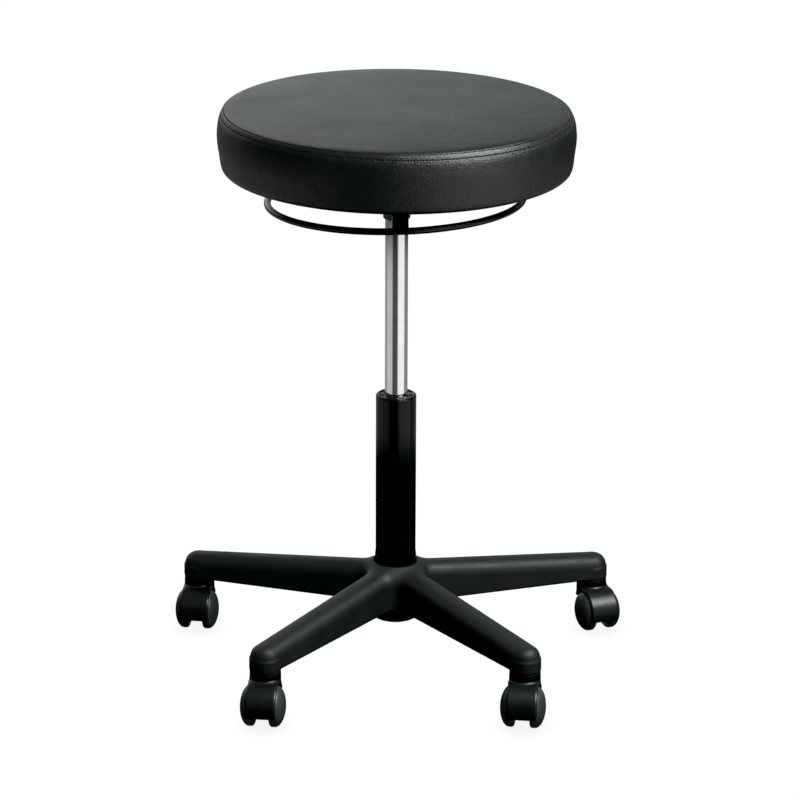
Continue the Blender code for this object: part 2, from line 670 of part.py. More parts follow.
def build_plate(parent):
    """Mounting plate with the housing under it, slotted front and back for the crossbar."""
    outline = rounded_rectangle(PLATE_HALF, PLATE_HALF, PLATE_CORNER)
    shape = prism(outline, PLATE_BOTTOM_Z, PLATE_TOP_Z)
    plate = add_piece("mounting_plate", shape, "mechanism_paint", parent)
    shell = rounded_rectangle(HOUSING_HALF_X, HOUSING_HALF_Y, HOUSING_CORNER)
    join(plate, "guide_housing", prism(shell, HOUSING_FLOOR_Z, PLATE_BOTTOM_Z + 0.0010))
    hollow = rounded_rectangle(
        HOUSING_HALF_X - HOUSING_WALL, HOUSING_HALF_Y - HOUSING_WALL, HOUSING_CORNER - 0.001
    )
    hollow_floor = HOUSING_FLOOR_Z + HOUSING_FLOOR_THICKNESS
    cut(plate, "cut_housing", prism(hollow, hollow_floor, PLATE_BOTTOM_Z - 0.0002))
    for name, y_low, y_high, z_low in SLOTS:
        slot = box((SLOT_X[0], y_low, z_low), (SLOT_X[1], y_high, SLOT_TOP_Z))
        cut(plate, f"cut_slot_{name}", slot)
    pin_hole = disc(
        PIN_HOLE_RADIUS, HOUSING_FLOOR_Z - OVERRUN, HOUSING_FLOOR_Z + 0.004, segments=16
    )
    cut(plate, "cut_pin_hole", pin_hole)
    for i, place in enumerate(BOLT_PLACES):
        hole = disc(
            PLATE_HOLE_RADIUS, PLATE_BOTTOM_Z - OVERRUN, PLATE_TOP_Z + OVERRUN, segments=12
        )
        cut(plate, f"cut_plate_hole_{i}", hole, place)


# ---------------------------------------------------------------- ring handle
RING_RADIUS = 0.1544
RING_STEPS = 40
RING_HALF_OPENING = 0.0004  # half the slit of the butt joint at the front
WIRE_RADIUS = 0.0042
WIRE_SIDES = 8
RING_X = -0.0018
RING_Z = 0.5877
RING_TILT_X_DEG = -1.45
RING_TILT_Y_DEG = -1.55
STRAP_WIDTH = 0.0198
STRAP_THICKNESS = 0.0030
STRAP_X = 0.0042
STRAP_RISE = 0.0248
STRAP_END = RING_RADIUS - WIRE_RADIUS / 2  # before the ends are trimmed to the ring
STRAP_TRIM_MARGIN = 0.010  # the trimming disc's reach below and above the strap's middle line
# (y, z) along the strap's middle line: it steps up to run over the release pin
STRAP_LINE = [
    (-STRAP_END, 0.0), (-0.0880, 0.0), (-0.0700, STRAP_RISE),
    (0.0700, STRAP_RISE), (0.0880, 0.0), (STRAP_END, 0.0),
]


def build_ring(parent, lean):
    joint = RING_HALF_OPENING / RING_RADIUS
    sections = []
    for i in range(RING_STEPS + 1):
        angle = -math.pi / 2 + joint + (2 * math.pi - 2 * joint) * i / RING_STEPS
        outward = Vector((math.cos(angle), math.sin(angle), 0.0))
        section = []
        for k in range(WIRE_SIDES):
            around = 2 * math.pi * k / WIRE_SIDES
            offset = math.cos(around) * outward + math.sin(around) * Vector((0, 0, 1))
            section.append(RING_RADIUS * outward + WIRE_RADIUS * offset)
        sections.append(section)
    add_piece("ring_handle", loft(sections), "ring_paint", parent, lean)


def build_crossbar(parent, lean):
    """Flat strap across the ring, its ends trimmed to a clearance inside the wire."""
    half = STRAP_THICKNESS / 2
    outline = [(y, z + half) for y, z in STRAP_LINE]
    outline += [(y, z - half) for y, z in reversed(STRAP_LINE)]
    middle_x = STRAP_X - RING_X
    strap = prism(outline, middle_x - STRAP_WIDTH / 2, middle_x + STRAP_WIDTH / 2, "X")
    crossbar = add_piece("handle_crossbar", strap, "ring_paint", parent, lean)
    reach = (RING_RADIUS - WIRE_RADIUS) * math.cos(math.pi / RING_STEPS) - GAP
    inside = disc(
        reach, -STRAP_TRIM_MARGIN, STRAP_RISE + STRAP_TRIM_MARGIN,
        segments=72, phase=math.pi / 72,
    )
    combine(crossbar, "INTERSECT", "keep_crossbar", inside, lean)


def build_handle(parent):
    """Ring and crossbar, slightly askew in the housing's slots."""
    lean = (
        Matrix.Translation((RING_X, 0.0, RING_Z))
        @ Matrix.Rotation(math.radians(RING_TILT_X_DEG), 4, "X")
        @ Matrix.Rotation(math.radians(RING_TILT_Y_DEG), 4, "Y")
    )
    build_ring(parent, lean)
    build_crossbar(parent, lean)


# ---------------------------------------------------------------- seat
BOARD_RADIUS = 0.2030
BOARD_BOTTOM_Z = 0.6275
BOARD_TOP_Z = 0.6395
BOARD_BEVEL = 0.0020
COVER_THICKNESS = 0.0012
SEAT_TOP_Z = 0.7050
# outer outline of the cover, as (radius, height); the panel ends at the seam, the band starts there
TOP_PANEL = [
    (0.0500, SEAT_TOP_Z), (0.1300, 0.7040), (0.1850, 0.7013), (0.2035, 0.6978), (0.2094, 0.6936),
]
SIDE_BAND = [
    (0.2099, 0.6922), (0.2145, 0.6790), (0.2150, 0.6610), (0.2128, 0.6400),
    (0.2095, 0.6290), (0.2020, 0.6261), (0.1660, 0.6260),
]
FOAM_FOOT_RADIUS = 0.2065
DUST_RADIUS = 0.1640
DUST_BOTTOM_Z = 0.6262
DUST_TOP_Z = 0.6272

BOLT_RADIUS = 0.0030
BOLT_HEAD_RADIUS = 0.0058
BOLT_SEAT_Z = PLATE_BOTTOM_Z - GAP
BOLT_TOP_Z = 0.6386
NUT_BARREL_RADIUS = 0.0040
NUT_BOTTOM_Z = 0.6295
NUT_FLANGE_RADIUS = 0.0098
NUT_RECESS_Z = BOARD_TOP_Z - 0.0020  # floor of the recess for the T-nut's flange
BOARD_HOLE_RADIUS = 0.0043
NUT_RECESS_RADIUS = 0.0102


def offset_profile(points, distance):
    """Shift an open outline of (radius, height) points to the right of its direction."""
    shifted = []
    for i, (radius, z) in enumerate(points):
        before = points[max(0, i - 1)]
        after = points[min(len(points) - 1, i + 1)]
        run, rise = after[0] - before[0], after[1] - before[1]
        length = math.hypot(run, rise)
        shifted.append((radius + distance * rise / length, z - distance * run / length))
    return shifted


def build_board(parent):
    """Plywood board, drilled and recessed for the T-nuts."""
    board = [
        (0.0, BOARD_BOTTOM_Z),
        (BOARD_RADIUS - BOARD_BEVEL, BOARD_BOTTOM_Z),
        (BOARD_RADIUS, BOARD_BOTTOM_Z + BOARD_BEVEL),
        (BOARD_RADIUS, BOARD_TOP_Z - BOARD_BEVEL),
        (BOARD_RADIUS - BOARD_BEVEL, BOARD_TOP_Z),
        (0.0, BOARD_TOP_Z),
    ]
    board_piece = add_piece("seat_board", turned(board, segments=28), "plywood", parent)
    hole = [
        (0.0, BOARD_BOTTOM_Z - OVERRUN),
        (BOARD_HOLE_RADIUS, BOARD_BOTTOM_Z - OVERRUN),
        (BOARD_HOLE_RADIUS, NUT_RECESS_Z),
        (NUT_RECESS_RADIUS, NUT_RECESS_Z),
        (NUT_RECESS_RADIUS, BOARD_TOP_Z + OVERRUN),
        (0.0, BOARD_TOP_Z + OVERRUN),
    ]
    for i, place in enumerate(BOLT_PLACES):
        cut(board_piece, f"cut_board_hole_{i}", turned(hole, segments=8), place)


def build_cover(parent):
    """Top panel, and a side band that turns in under the board's edge."""
    top_inner = offset_profile(TOP_PANEL, COVER_THICKNESS)
    top = [(0.0, SEAT_TOP_Z)] + TOP_PANEL + top_inner[::-1]
    top.append((0.0, SEAT_TOP_Z - COVER_THICKNESS))
    add_piece("seat_cover_top", turned(top, segments=36), "seat_vinyl", parent)

    band_inner = offset_profile(SIDE_BAND, COVER_THICKNESS)
    end_radius, end_z = SIDE_BAND[-1]
    band_inner[-1] = (end_radius, end_z + COVER_THICKNESS)  # squares off the turned-in edge
    band = SIDE_BAND + band_inner[::-1]
    add_piece("seat_cover_band", turned(band, segments=36), "seat_vinyl", parent)


def build_foam(parent):
    """Foam that fills the cover above the board."""
    roof = offset_profile(TOP_PANEL, COVER_THICKNESS + GAP)[:-1]
    wall = offset_profile(SIDE_BAND, COVER_THICKNESS + 0.0006)
    wall = [(radius, z) for radius, z in wall if z > BOARD_TOP_Z + 0.003][1:]
    bottom = BOARD_TOP_Z + GAP
    foam = [(0.0, SEAT_TOP_Z - COVER_THICKNESS - GAP)] + roof + wall
    foam += [(FOAM_FOOT_RADIUS, bottom), (0.0, bottom)]
    add_piece("seat_foam", turned(foam, segments=36), "foam", parent)


def build_dust_cover(parent):
    """Cloth between the board and the plate, inside the band's turned-in edge."""
    cloth = disc(DUST_RADIUS, DUST_BOTTOM_Z, DUST_TOP_Z, segments=28)
    dust = add_piece("dust_cover", cloth, "dust_cloth", parent)
    for i, place in enumerate(BOLT_PLACES):
        cut(dust, f"cut_dust_hole_{i}", disc(0.0040, 0.620, 0.640, segments=8), place)


def build_fixings(parent):
    """Four bolts from below into T-nuts in the board."""
    bolt = [
        (0.0, BOLT_SEAT_Z - 0.0042),
        (BOLT_HEAD_RADIUS - 0.0008, BOLT_SEAT_Z - 0.0042),
        (BOLT_HEAD_RADIUS, BOLT_SEAT_Z - 0.0036),
        (BOLT_HEAD_RADIUS, BOLT_SEAT_Z),
        (BOLT_RADIUS, BOLT_SEAT_Z),
        (BOLT_RADIUS, BOLT_TOP_Z),
        (0.0, BOLT_TOP_Z),
    ]
    nut = [
        (BOLT_RADIUS + GAP, NUT_BOTTOM_Z),
        (NUT_BARREL_RADIUS, NUT_BOTTOM_Z),
        (NUT_BARREL_RADIUS, NUT_RECESS_Z + GAP),
        (NUT_FLANGE_RADIUS, NUT_RECESS_Z + GAP),
        (NUT_FLANGE_RADIUS, BOARD_TOP_Z - 0.0002),
        (BOLT_RADIUS + GAP, BOARD_TOP_Z - 0.0002),
    ]
    bolt_mesh = make_mesh("bolt_mesh", turned(bolt, segments=8), "zinc_steel")
    nut_mesh = make_mesh("nut_mesh", turned(nut, segments=8), "zinc_steel")
    for number, place in enumerate(BOLT_PLACES, start=1):
        add_object(f"seat_bolt_{number}", bolt_mesh, parent, place)
        add_object(f"tee_nut_{number}", nut_mesh, parent, place)


# ---------------------------------------------------------------- whole stool
def build_stool():
    column = add_empty("column_axis", (0.0, COLUMN_Y, 0.0))
    for build in (
        build_base, build_casters,
        build_tube, build_bearing, build_piston, build_cylinder,
        build_taper_socket, build_plate, build_handle,
        build_board, build_cover, build_foam, build_dust_cover, build_fixings,
    ):
        build(column)
    bpy.context.view_layer.update()


clear_scene()
build_stool()
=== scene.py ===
"""Rolling stylist stool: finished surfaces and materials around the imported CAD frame.

Metres. The column stands along +Z on a floor at z = 0; the front faces -Y, the right is +X.
One of the five arms points back, along +Y.
"""

import json
import math

import bmesh
import bpy
import numpy as np
from mathutils import Matrix, Vector
from mathutils.kdtree import KDTree


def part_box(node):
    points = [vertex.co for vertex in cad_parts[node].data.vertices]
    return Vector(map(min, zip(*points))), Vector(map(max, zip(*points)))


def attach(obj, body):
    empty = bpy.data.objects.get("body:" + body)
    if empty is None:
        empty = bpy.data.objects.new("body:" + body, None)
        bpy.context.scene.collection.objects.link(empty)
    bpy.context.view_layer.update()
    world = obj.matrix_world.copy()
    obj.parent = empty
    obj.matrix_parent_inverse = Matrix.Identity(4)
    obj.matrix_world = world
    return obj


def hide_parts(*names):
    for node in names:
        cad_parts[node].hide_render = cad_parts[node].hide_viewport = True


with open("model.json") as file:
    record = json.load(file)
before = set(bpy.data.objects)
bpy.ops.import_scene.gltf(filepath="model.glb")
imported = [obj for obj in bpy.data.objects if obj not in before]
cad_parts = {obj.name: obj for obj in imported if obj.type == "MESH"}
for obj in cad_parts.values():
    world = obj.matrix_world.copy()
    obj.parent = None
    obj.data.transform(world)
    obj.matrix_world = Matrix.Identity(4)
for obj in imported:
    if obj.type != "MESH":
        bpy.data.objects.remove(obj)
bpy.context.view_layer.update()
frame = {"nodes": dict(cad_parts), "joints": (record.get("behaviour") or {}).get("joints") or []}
NODES = frame["nodes"]


def middle(node):
    """The x and y of the middle of a CAD piece."""
    low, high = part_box(node)
    return (low.x + high.x) / 2, (low.y + high.y) / 2


# ---------------------------------------------------------------- places read from the frame
COLUMN_X, COLUMN_Y = middle("outer_tube")
COLUMN_AT = (COLUMN_X, COLUMN_Y, 0.0)
TUBE_BOTTOM_Z, TUBE_TOP_Z = (corner.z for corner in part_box("outer_tube"))
HUB_BOTTOM_Z, HUB_TOP_Z = (corner.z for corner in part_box("base"))
CYLINDER_BOTTOM_Z, CYLINDER_TOP_Z = (corner.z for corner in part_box("gas_cylinder"))
SOCKET_BOTTOM_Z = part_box("taper_socket")[0].z
BOARD_TOP_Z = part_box("seat_board")[1].z

# the row of topstitches round the upper edge of the seat's side band, and the seam's slant
STITCH_Z = 0.6917
STITCH_COUNT = 372
SEAM_DROP = 0.0020  # how much lower the seam lies at SEAT_REACH to the right
SEAT_REACH = 0.21


# ---------------------------------------------------------------- shader nodes
class Tree:
    """Short calls for the shader nodes of one material or world."""

    def __init__(self, owner):
        self.owner = owner
        self.nodes = owner.node_tree.nodes
        self.links = owner.node_tree.links

    def put(self, socket, value):
        if isinstance(value, bpy.types.NodeSocket):
            self.links.new(value, socket)
        elif value is not None:
            socket.default_value = value

    def set(self, name, value):
        """Set or link an input of the surface shader."""
        self.put(self.nodes["Principled BSDF"].inputs[name], value)

    def source(self, kind, output):
        return self.nodes.new("ShaderNode" + kind).outputs[output]

    def math(self, operation, first, second=0.5, clamp=False):
        node = self.nodes.new("ShaderNodeMath")
        node.operation = operation
        node.use_clamp = clamp
        self.put(node.inputs[0], first)
        self.put(node.inputs[1], second)
        return node.outputs[0]

    def add(self, first, second, clamp=False):
        return self.math("ADD", first, second, clamp)

    def minus(self, first, second, clamp=False):
        return self.math("SUBTRACT", first, second, clamp)

    def times(self, first, second, clamp=False):
        return self.math("MULTIPLY", first, second, clamp)

    def coords(self, scale=(1.0, 1.0, 1.0)):
        source = self.source("TexCoord", "Object")
        node = self.nodes.new("ShaderNodeMapping")
        self.put(node.inputs["Vector"], source)
        node.inputs["Scale"].default_value = scale
        return node.outputs[0]

    def split(self, vector):
        node = self.nodes.new("ShaderNodeSeparateXYZ")
        self.put(node.inputs[0], vector)
        return node.outputs

    def noise(self, vector, scale, detail=2.0, rough=0.5, distortion=0.0):
        node = self.nodes.new("ShaderNodeTexNoise")
        self.put(node.inputs["Vector"], vector)
        node.inputs["Scale"].default_value = scale
        node.inputs["Detail"].default_value = detail
        node.inputs["Roughness"].default_value = rough
        node.inputs["Distortion"].default_value = distortion
        return node.outputs["Fac"]

    def voronoi(self, vector, scale, smooth=None):
        node = self.nodes.new("ShaderNodeTexVoronoi")
        self.put(node.inputs["Vector"], vector)
        node.inputs["Scale"].default_value = scale
        if smooth is not None:
            node.feature = "SMOOTH_F1"
            node.inputs["Smoothness"].default_value = smooth
        return node.outputs["Distance"]

    def span(self, value, between=(0.3, 0.7), to=(0.0, 1.0)):
        """Map the range `between` on to the range `to`."""
        node = self.nodes.new("ShaderNodeMapRange")
        self.put(node.inputs["Value"], value)
        names = ("From Min", "From Max", "To Min", "To Max")
        for name, number in zip(names, (*between, *to)):
            node.inputs[name].default_value = number
        return node.outputs["Result"]

    def mix(self, factor, first, second):
        """Blend two colours, each a socket or an rgb triple."""
        node = self.nodes.new("ShaderNodeMix")
        node.data_type = "RGBA"
        self.put(node.inputs["Factor"], factor)
        # inputs 6 and 7 and output 2 are the colour sockets
        for socket, value in ((node.inputs[6], first), (node.inputs[7], second)):
            self.put(socket, (*value, 1.0) if isinstance(value, tuple) else value)
        return node.outputs[2]

    def bump(self, height, strength, distance, normal=None):
        node = self.nodes.new("ShaderNodeBump")
        self.put(node.inputs["Height"], height)
        node.inputs["Strength"].default_value = strength
        node.inputs["Distance"].default_value = distance
        self.put(node.inputs["Normal"], normal)
        return node.outputs["Normal"]

    def emission(self, strength):
        node = self.nodes.new("ShaderNodeEmission")
        self.put(node.inputs["Strength"], strength)
        return node.outputs[0]

    def mix_shader(self, factor, first, second):
        node = self.nodes.new("ShaderNodeMixShader")
        for socket, value in zip(node.inputs, (factor, first, second)):
            self.links.new(value, socket)
        return node.outputs[0]


def new_material(name):
    made = bpy.data.materials.new(name)
    made.use_nodes = True
    return Tree(made)


def shade(rgb, share):
    return tuple(part * share for part in rgb)


# ---------------------------------------------------------------- materials
def moulded(name, rgb, roughness, grain_scale, grain, specular=0.5, wear=0.25, painted_shade_heights=None):
    """Moulded plastic: fine spark texture, cloudy gloss, edges rubbed a little lighter.

    Given two heights, it is unchanged below the first and painted dull and dark above the second:
    painted shade in the groove where a caster's neck meets the arm.
    """
    tree = new_material(name)
    at = tree.coords()
    cloud = tree.noise(at, scale=28.0, detail=4.0, rough=0.55)
    fine = tree.noise(at, scale=grain_scale, rough=0.6)
    pits = tree.voronoi(at, scale=grain_scale * 0.55, smooth=0.6)
    along = tree.coords((9.0, 9.0, 60.0))
    flow = tree.noise(along, scale=2.0, detail=3.0, rough=0.6, distortion=0.4)
    body = tree.mix(tree.span(cloud), shade(rgb, 0.85), shade(rgb, 1.2))
    edge = tree.source("NewGeometry", "Pointiness")
    worn = tree.span(edge, between=(0.515, 0.60), to=(0.0, wear))
    patchy = tree.span(tree.noise(at, scale=240.0, detail=4.0, rough=0.65), between=(0.42, 0.62))
    body = tree.mix(tree.times(worn, patchy, clamp=True), body, shade(rgb, 3.2))
    gloss = tree.span(cloud, to=(roughness - 0.05, roughness + 0.05))
    tree.set("Roughness", tree.add(gloss, tree.span(flow, to=(-0.03, 0.03)), clamp=True))
    tree.set("Specular IOR Level", specular)
    # painted shade: above the given heights the colour is darkened and the reflection dimmed,
    # unevenly
    if painted_shade_heights:
        height = tree.split(at)[2]
        fade = tree.span(height, between=painted_shade_heights, to=(1.0, 0.10))
        specks = tree.times(tree.noise(at, scale=500.0, detail=4.0, rough=0.6), 0.06)
        unshaded = tree.minus(fade, specks, clamp=True)
        tree.set("Specular IOR Level", tree.times(unshaded, specular))
        body = tree.mix(unshaded, shade(rgb, 0.25), body)
    tree.set("Base Color", body)
    normal = tree.bump(tree.add(fine, pits), strength=grain, distance=0.00012)
    tree.set("Normal", tree.bump(flow, strength=0.10, distance=0.0006, normal=normal))
    return tree.owner


def painted(name, rgb, roughness, peel, specular, grain_scale):
    """Paint or powder coat: slight orange peel, dust specks in the gloss."""
    tree = new_material(name)
    at = tree.coords()
    skin = tree.noise(at, scale=grain_scale, detail=1.0, rough=0.4)
    wide = tree.noise(at, scale=45.0, detail=3.0)
    speck = tree.span(tree.noise(at, scale=2600.0, rough=0.7), between=(0.66, 0.74))
    share = tree.span(wide, between=(0.35, 0.65))
    tree.set("Base Color", tree.mix(share, shade(rgb, 0.9), shade(rgb, 1.15)))
    gloss = tree.span(wide, to=(roughness * 0.85, roughness * 1.15))
    tree.set("Roughness", tree.add(gloss, tree.times(speck, 0.12), clamp=True))
    tree.set("Specular IOR Level", specular)
    tree.set("Coat Roughness", 0.05)
    dust = tree.bump(speck, strength=0.15, distance=0.00005)
    tree.set("Normal", tree.bump(skin, strength=peel, distance=0.00015, normal=dust))
    return tree.owner


def metal(name, rgb, roughness, stretch, scratch, scale):
    """Metal with a fine lay of grinding or drawing lines and a slightly uneven polish."""
    tree = new_material(name)
    lay = tree.noise(tree.coords((1.0, 1.0, stretch)), scale=scale, detail=6.0, rough=0.7)
    cloud = tree.noise(tree.coords(), scale=60.0, detail=3.0)
    tree.set("Base Color", tree.mix(tree.span(cloud), shade(rgb, 0.93), shade(rgb, 1.04)))
    tree.set("Metallic", 1.0)
    gloss = tree.span(lay, to=(roughness * 0.8, roughness * 1.25))
    tree.set("Roughness", tree.add(gloss, tree.span(cloud, to=(-0.02, 0.03)), clamp=True))
    tree.set("Normal", tree.bump(lay, strength=scratch, distance=0.00004))
    return tree.owner


def spangle(name, rgb, roughness):
    """Zinc plate: small crystal patches, yellowish to bluish, with dull spots."""
    tree = new_material(name)
    at = tree.coords()
    patch = tree.voronoi(at, scale=900.0)
    cloud = tree.noise(at, scale=150.0, detail=4.0, rough=0.6)
    pale = tuple(part * share for part, share in zip(rgb, (1.12, 1.10, 1.05)))
    share = tree.span(patch, between=(0.1, 0.8))
    tree.set("Base Color", tree.mix(share, shade(rgb, 0.82), pale))
    tree.set("Metallic", 1.0)
    gloss = tree.span(cloud, to=(roughness - 0.08, roughness + 0.12))
    tree.set("Roughness", tree.add(gloss, tree.times(patch, 0.08), clamp=True))
    tree.set("Normal", tree.bump(cloud, strength=0.15, distance=0.00005))
    return tree.owner


def needle_hole_shade(tree, at):
    """Painted shade in the needle holes between the stitches, along the slanting stitch line: 1
    inside the holes, 0 elsewhere.
    """
    px, py, pz = tree.split(at)
    x, y = tree.minus(px, COLUMN_X), tree.minus(py, COLUMN_Y)
    line = tree.minus(STITCH_Z, tree.times(x, SEAM_DROP / SEAT_REACH))
    off = tree.math("ABSOLUTE", tree.minus(pz, line))
    turns = tree.times(tree.math("ARCTAN2", y, x), float(STITCH_COUNT))
    beat = tree.math("COSINE", turns)
    near_line = tree.span(off, between=(0.00045, 0.00110), to=(1.0, 0.0))
    between_stitches = tree.span(beat, between=(-0.55, 0.35), to=(1.0, 0.0))
    return tree.times(near_line, between_stitches, clamp=True)


def vinyl_material(name):
    """Black satin upholstery vinyl: pebbled leather grain at two sizes."""
    tree = new_material(name)
    at = tree.coords()
    warp = tree.noise(at, scale=300.0)
    pebble = tree.voronoi(tree.coords(), scale=720.0, smooth=0.25)
    small = tree.voronoi(tree.coords((1.0, 1.0, 1.15)), scale=1500.0, smooth=0.3)
    crease = tree.noise(tree.coords(), scale=120.0, detail=6.0, rough=0.62, distortion=0.8)
    cloud = tree.noise(at, scale=14.0, detail=3.0)
    share = tree.span(cloud, between=(0.35, 0.65))
    body = tree.mix(share, (0.0038, 0.0045, 0.0045), (0.0062, 0.0070, 0.0069))
    share = tree.span(pebble, between=(0.10, 0.55), to=(0.0, 0.45))
    body = tree.mix(share, body, (0.0026, 0.0030, 0.0030))
    gloss = tree.span(cloud, to=(0.31, 0.38))
    grain_gloss = tree.span(pebble, between=(0.1, 0.6), to=(-0.03, 0.07))
    tree.set("Roughness", tree.add(gloss, grain_gloss, clamp=True))
    # painted shade: the needle holes are painted near black and dull
    hole_shade = needle_hole_shade(tree, at)
    tree.set("Specular IOR Level", tree.span(hole_shade, between=(0.0, 1.0), to=(0.5, 0.04)))
    tree.set("Base Color", tree.mix(hole_shade, body, (0.0012, 0.0013, 0.0013)))
    stretched = tree.coords((1.0, 1.0, 1.5))
    soft = tree.noise(stretched, scale=24.0, detail=3.0, rough=0.55, distortion=1.4)
    height = tree.add(tree.times(pebble, -1.0), tree.times(small, -0.45))
    height = tree.add(height, tree.times(crease, 0.7))
    height = tree.add(height, tree.times(warp, 0.25))
    waves = tree.bump(soft, strength=0.30, distance=0.0028)
    tree.set("Normal", tree.bump(height, strength=0.55, distance=0.00044, normal=waves))
    return tree.owner


def cloth_material(name, rgb, threads):
    """Thin woven lining: crossed threads, so many to the metre, matt and fuzzy."""
    tree = new_material(name)
    x, y, _ = tree.split(tree.coords())
    waves = [tree.math("SINE", tree.times(way, threads * 6.283)) for way in (x, y)]
    weave = tree.math("MAXIMUM", *waves)
    fuzz = tree.noise(tree.coords(), scale=700.0, detail=4.0, rough=0.7)
    share = tree.span(tree.add(weave, fuzz), between=(0.0, 2.0))
    tree.set("Base Color", tree.mix(share, shade(rgb, 0.55), shade(rgb, 1.5)))
    tree.set("Roughness", 0.92)
    tree.set("Sheen Weight", 0.25)
    tree.set("Normal", tree.bump(tree.add(weave, fuzz), strength=0.4, distance=0.0002))
    return tree.owner


def foam_material(name, rgb):
    """Open-celled foam, a little yellowed in places."""
    tree = new_material(name)
    cells = tree.voronoi(tree.coords(), scale=1300.0)
    holes = tree.voronoi(tree.coords(), scale=420.0)
    cloud = tree.noise(tree.coords(), scale=20.0, detail=3.0)
    body = tree.mix(tree.span(cells, between=(0.05, 0.5)), shade(rgb, 0.72), rgb)
    yellowed = tuple(part * share for part, share in zip(rgb, (0.9, 0.78, 0.5)))
    tree.set("Base Color", tree.mix(tree.span(cloud, to=(0.0, 0.25)), body, yellowed))
    tree.set("Roughness", 0.97)
    tree.set("Subsurface Weight", 0.08)
    tree.set("Subsurface Radius", (0.004, 0.003, 0.002))
    tree.set("Normal", tree.bump(tree.add(cells, holes), strength=0.6, distance=0.0005))
    return tree.owner


def plywood_material(name, ply=0.0034):
    """Plywood: grain along X, growth rings, and dark lines one ply apart in height."""
    tree = new_material(name)
    along = tree.coords((6.0, 220.0, 220.0))
    grain = tree.noise(along, scale=1.0, detail=8.0, rough=0.65, distortion=0.6)
    rings = tree.noise(tree.coords((2.0, 22.0, 3.0)), scale=1.6, detail=3.0, distortion=1.2)
    height = tree.split(tree.coords())[2]
    plies = tree.math("SINE", tree.times(height, 2.0 * math.pi / ply))
    share = tree.span(grain, between=(0.35, 0.65))
    body = tree.mix(share, (0.42, 0.27, 0.14), (0.66, 0.48, 0.29))
    share = tree.span(rings, between=(0.4, 0.6), to=(0.0, 0.4))
    body = tree.mix(share, body, (0.35, 0.21, 0.10))
    share = tree.span(plies, between=(0.2, 0.9), to=(0.0, 0.35))
    tree.set("Base Color", tree.mix(share, body, (0.28, 0.17, 0.09)))
    tree.set("Roughness", 0.72)
    tree.set("Normal", tree.bump(grain, strength=0.3, distance=0.0003))
    return tree.owner


def thread_material(name, rgb):
    """Twisted sewing thread."""
    tree = new_material(name)
    twist = tree.noise(tree.coords(), scale=3200.0, distortion=1.5)
    tree.set("Base Color", tree.mix(twist, shade(rgb, 0.6), shade(rgb, 1.5)))
    tree.set("Roughness", 0.62)
    tree.set("Sheen Weight", 0.2)
    tree.set("Normal", tree.bump(twist, strength=0.5, distance=0.0001))
    return tree.owner


BASE_NYLON = moulded(
    "base_nylon_finish", rgb=(0.0040, 0.0047, 0.0046), roughness=0.57,
    grain_scale=1300.0, grain=0.22, specular=0.42,
)
# painted shade: above the two heights given, the caster body is painted darker and duller, for
# the groove under the arm's socket
CASTER_NYLON = moulded(
    "caster_nylon_finish", rgb=(0.0042, 0.0049, 0.0048), roughness=0.36,
    grain_scale=1600.0, grain=0.20, specular=0.40, wear=0.35, painted_shade_heights=(0.0545, 0.0566),
)
WHEEL_NYLON = moulded(
    "wheel_nylon_finish", rgb=(0.0320, 0.0340, 0.0336), roughness=0.44,
    grain_scale=1400.0, grain=0.30, wear=0.15,
)
TREAD_NYLON = moulded(
    "wheel_tread_finish", rgb=(0.0380, 0.0395, 0.0390), roughness=0.58,
    grain_scale=900.0, grain=0.55, wear=0.2,
)
# painted shade: the washers are darker and duller than the nylon round them, for the shade in the
# groove between the arm's socket and the caster's hood
SHADED_WASHER = moulded(
    "washer_shade_finish", rgb=(0.0030, 0.0032, 0.0032), roughness=0.55,
    grain_scale=1800.0, grain=0.10, specular=0.15, wear=0.1,
)
BUSH = moulded(
    "bush_finish", rgb=(0.0070, 0.0074, 0.0074), roughness=0.30, grain_scale=1500.0, grain=0.12,
)
TUBE_PAINT = painted(
    "tube_paint_finish", rgb=(0.0016, 0.0018, 0.0018), roughness=0.09,
    peel=0.05, specular=0.20, grain_scale=260.0,
)
MECHANISM_PAINT = painted(
    "mechanism_paint_finish", rgb=(0.0120, 0.0120, 0.0122), roughness=0.42,
    peel=0.35, specular=0.5, grain_scale=900.0,
)
RING_PAINT = painted(
    "ring_paint_finish", rgb=(0.0030, 0.0032, 0.0032), roughness=0.26,
    peel=0.12, specular=0.36, grain_scale=700.0,
)
CHROME = metal(
    "chrome_finish", rgb=(0.80, 0.805, 0.81), roughness=0.115,
    stretch=90.0, scratch=0.05, scale=24.0,
)
STEEL = metal(
    "ground_steel_finish", rgb=(0.62, 0.62, 0.61), roughness=0.24,
    stretch=70.0, scratch=0.12, scale=30.0,
)
ZINC = spangle("zinc_finish", rgb=(0.60, 0.60, 0.57), roughness=0.34)
RUBBER = moulded(
    "rubber_finish", rgb=(0.0160, 0.0160, 0.0160), roughness=0.78,
    grain_scale=700.0, grain=0.5, specular=0.3, wear=0.1,
)
VINYL = vinyl_material("seat_vinyl_finish")
DUST_CLOTH = cloth_material("dust_cloth_finish", rgb=(0.020, 0.020, 0.021), threads=650.0)
FOAM = foam_material("foam_finish", rgb=(0.78, 0.72, 0.52))
PLYWOOD = plywood_material("plywood_finish")
THREAD = thread_material("thread_finish", rgb=(0.014, 0.014, 0.015))


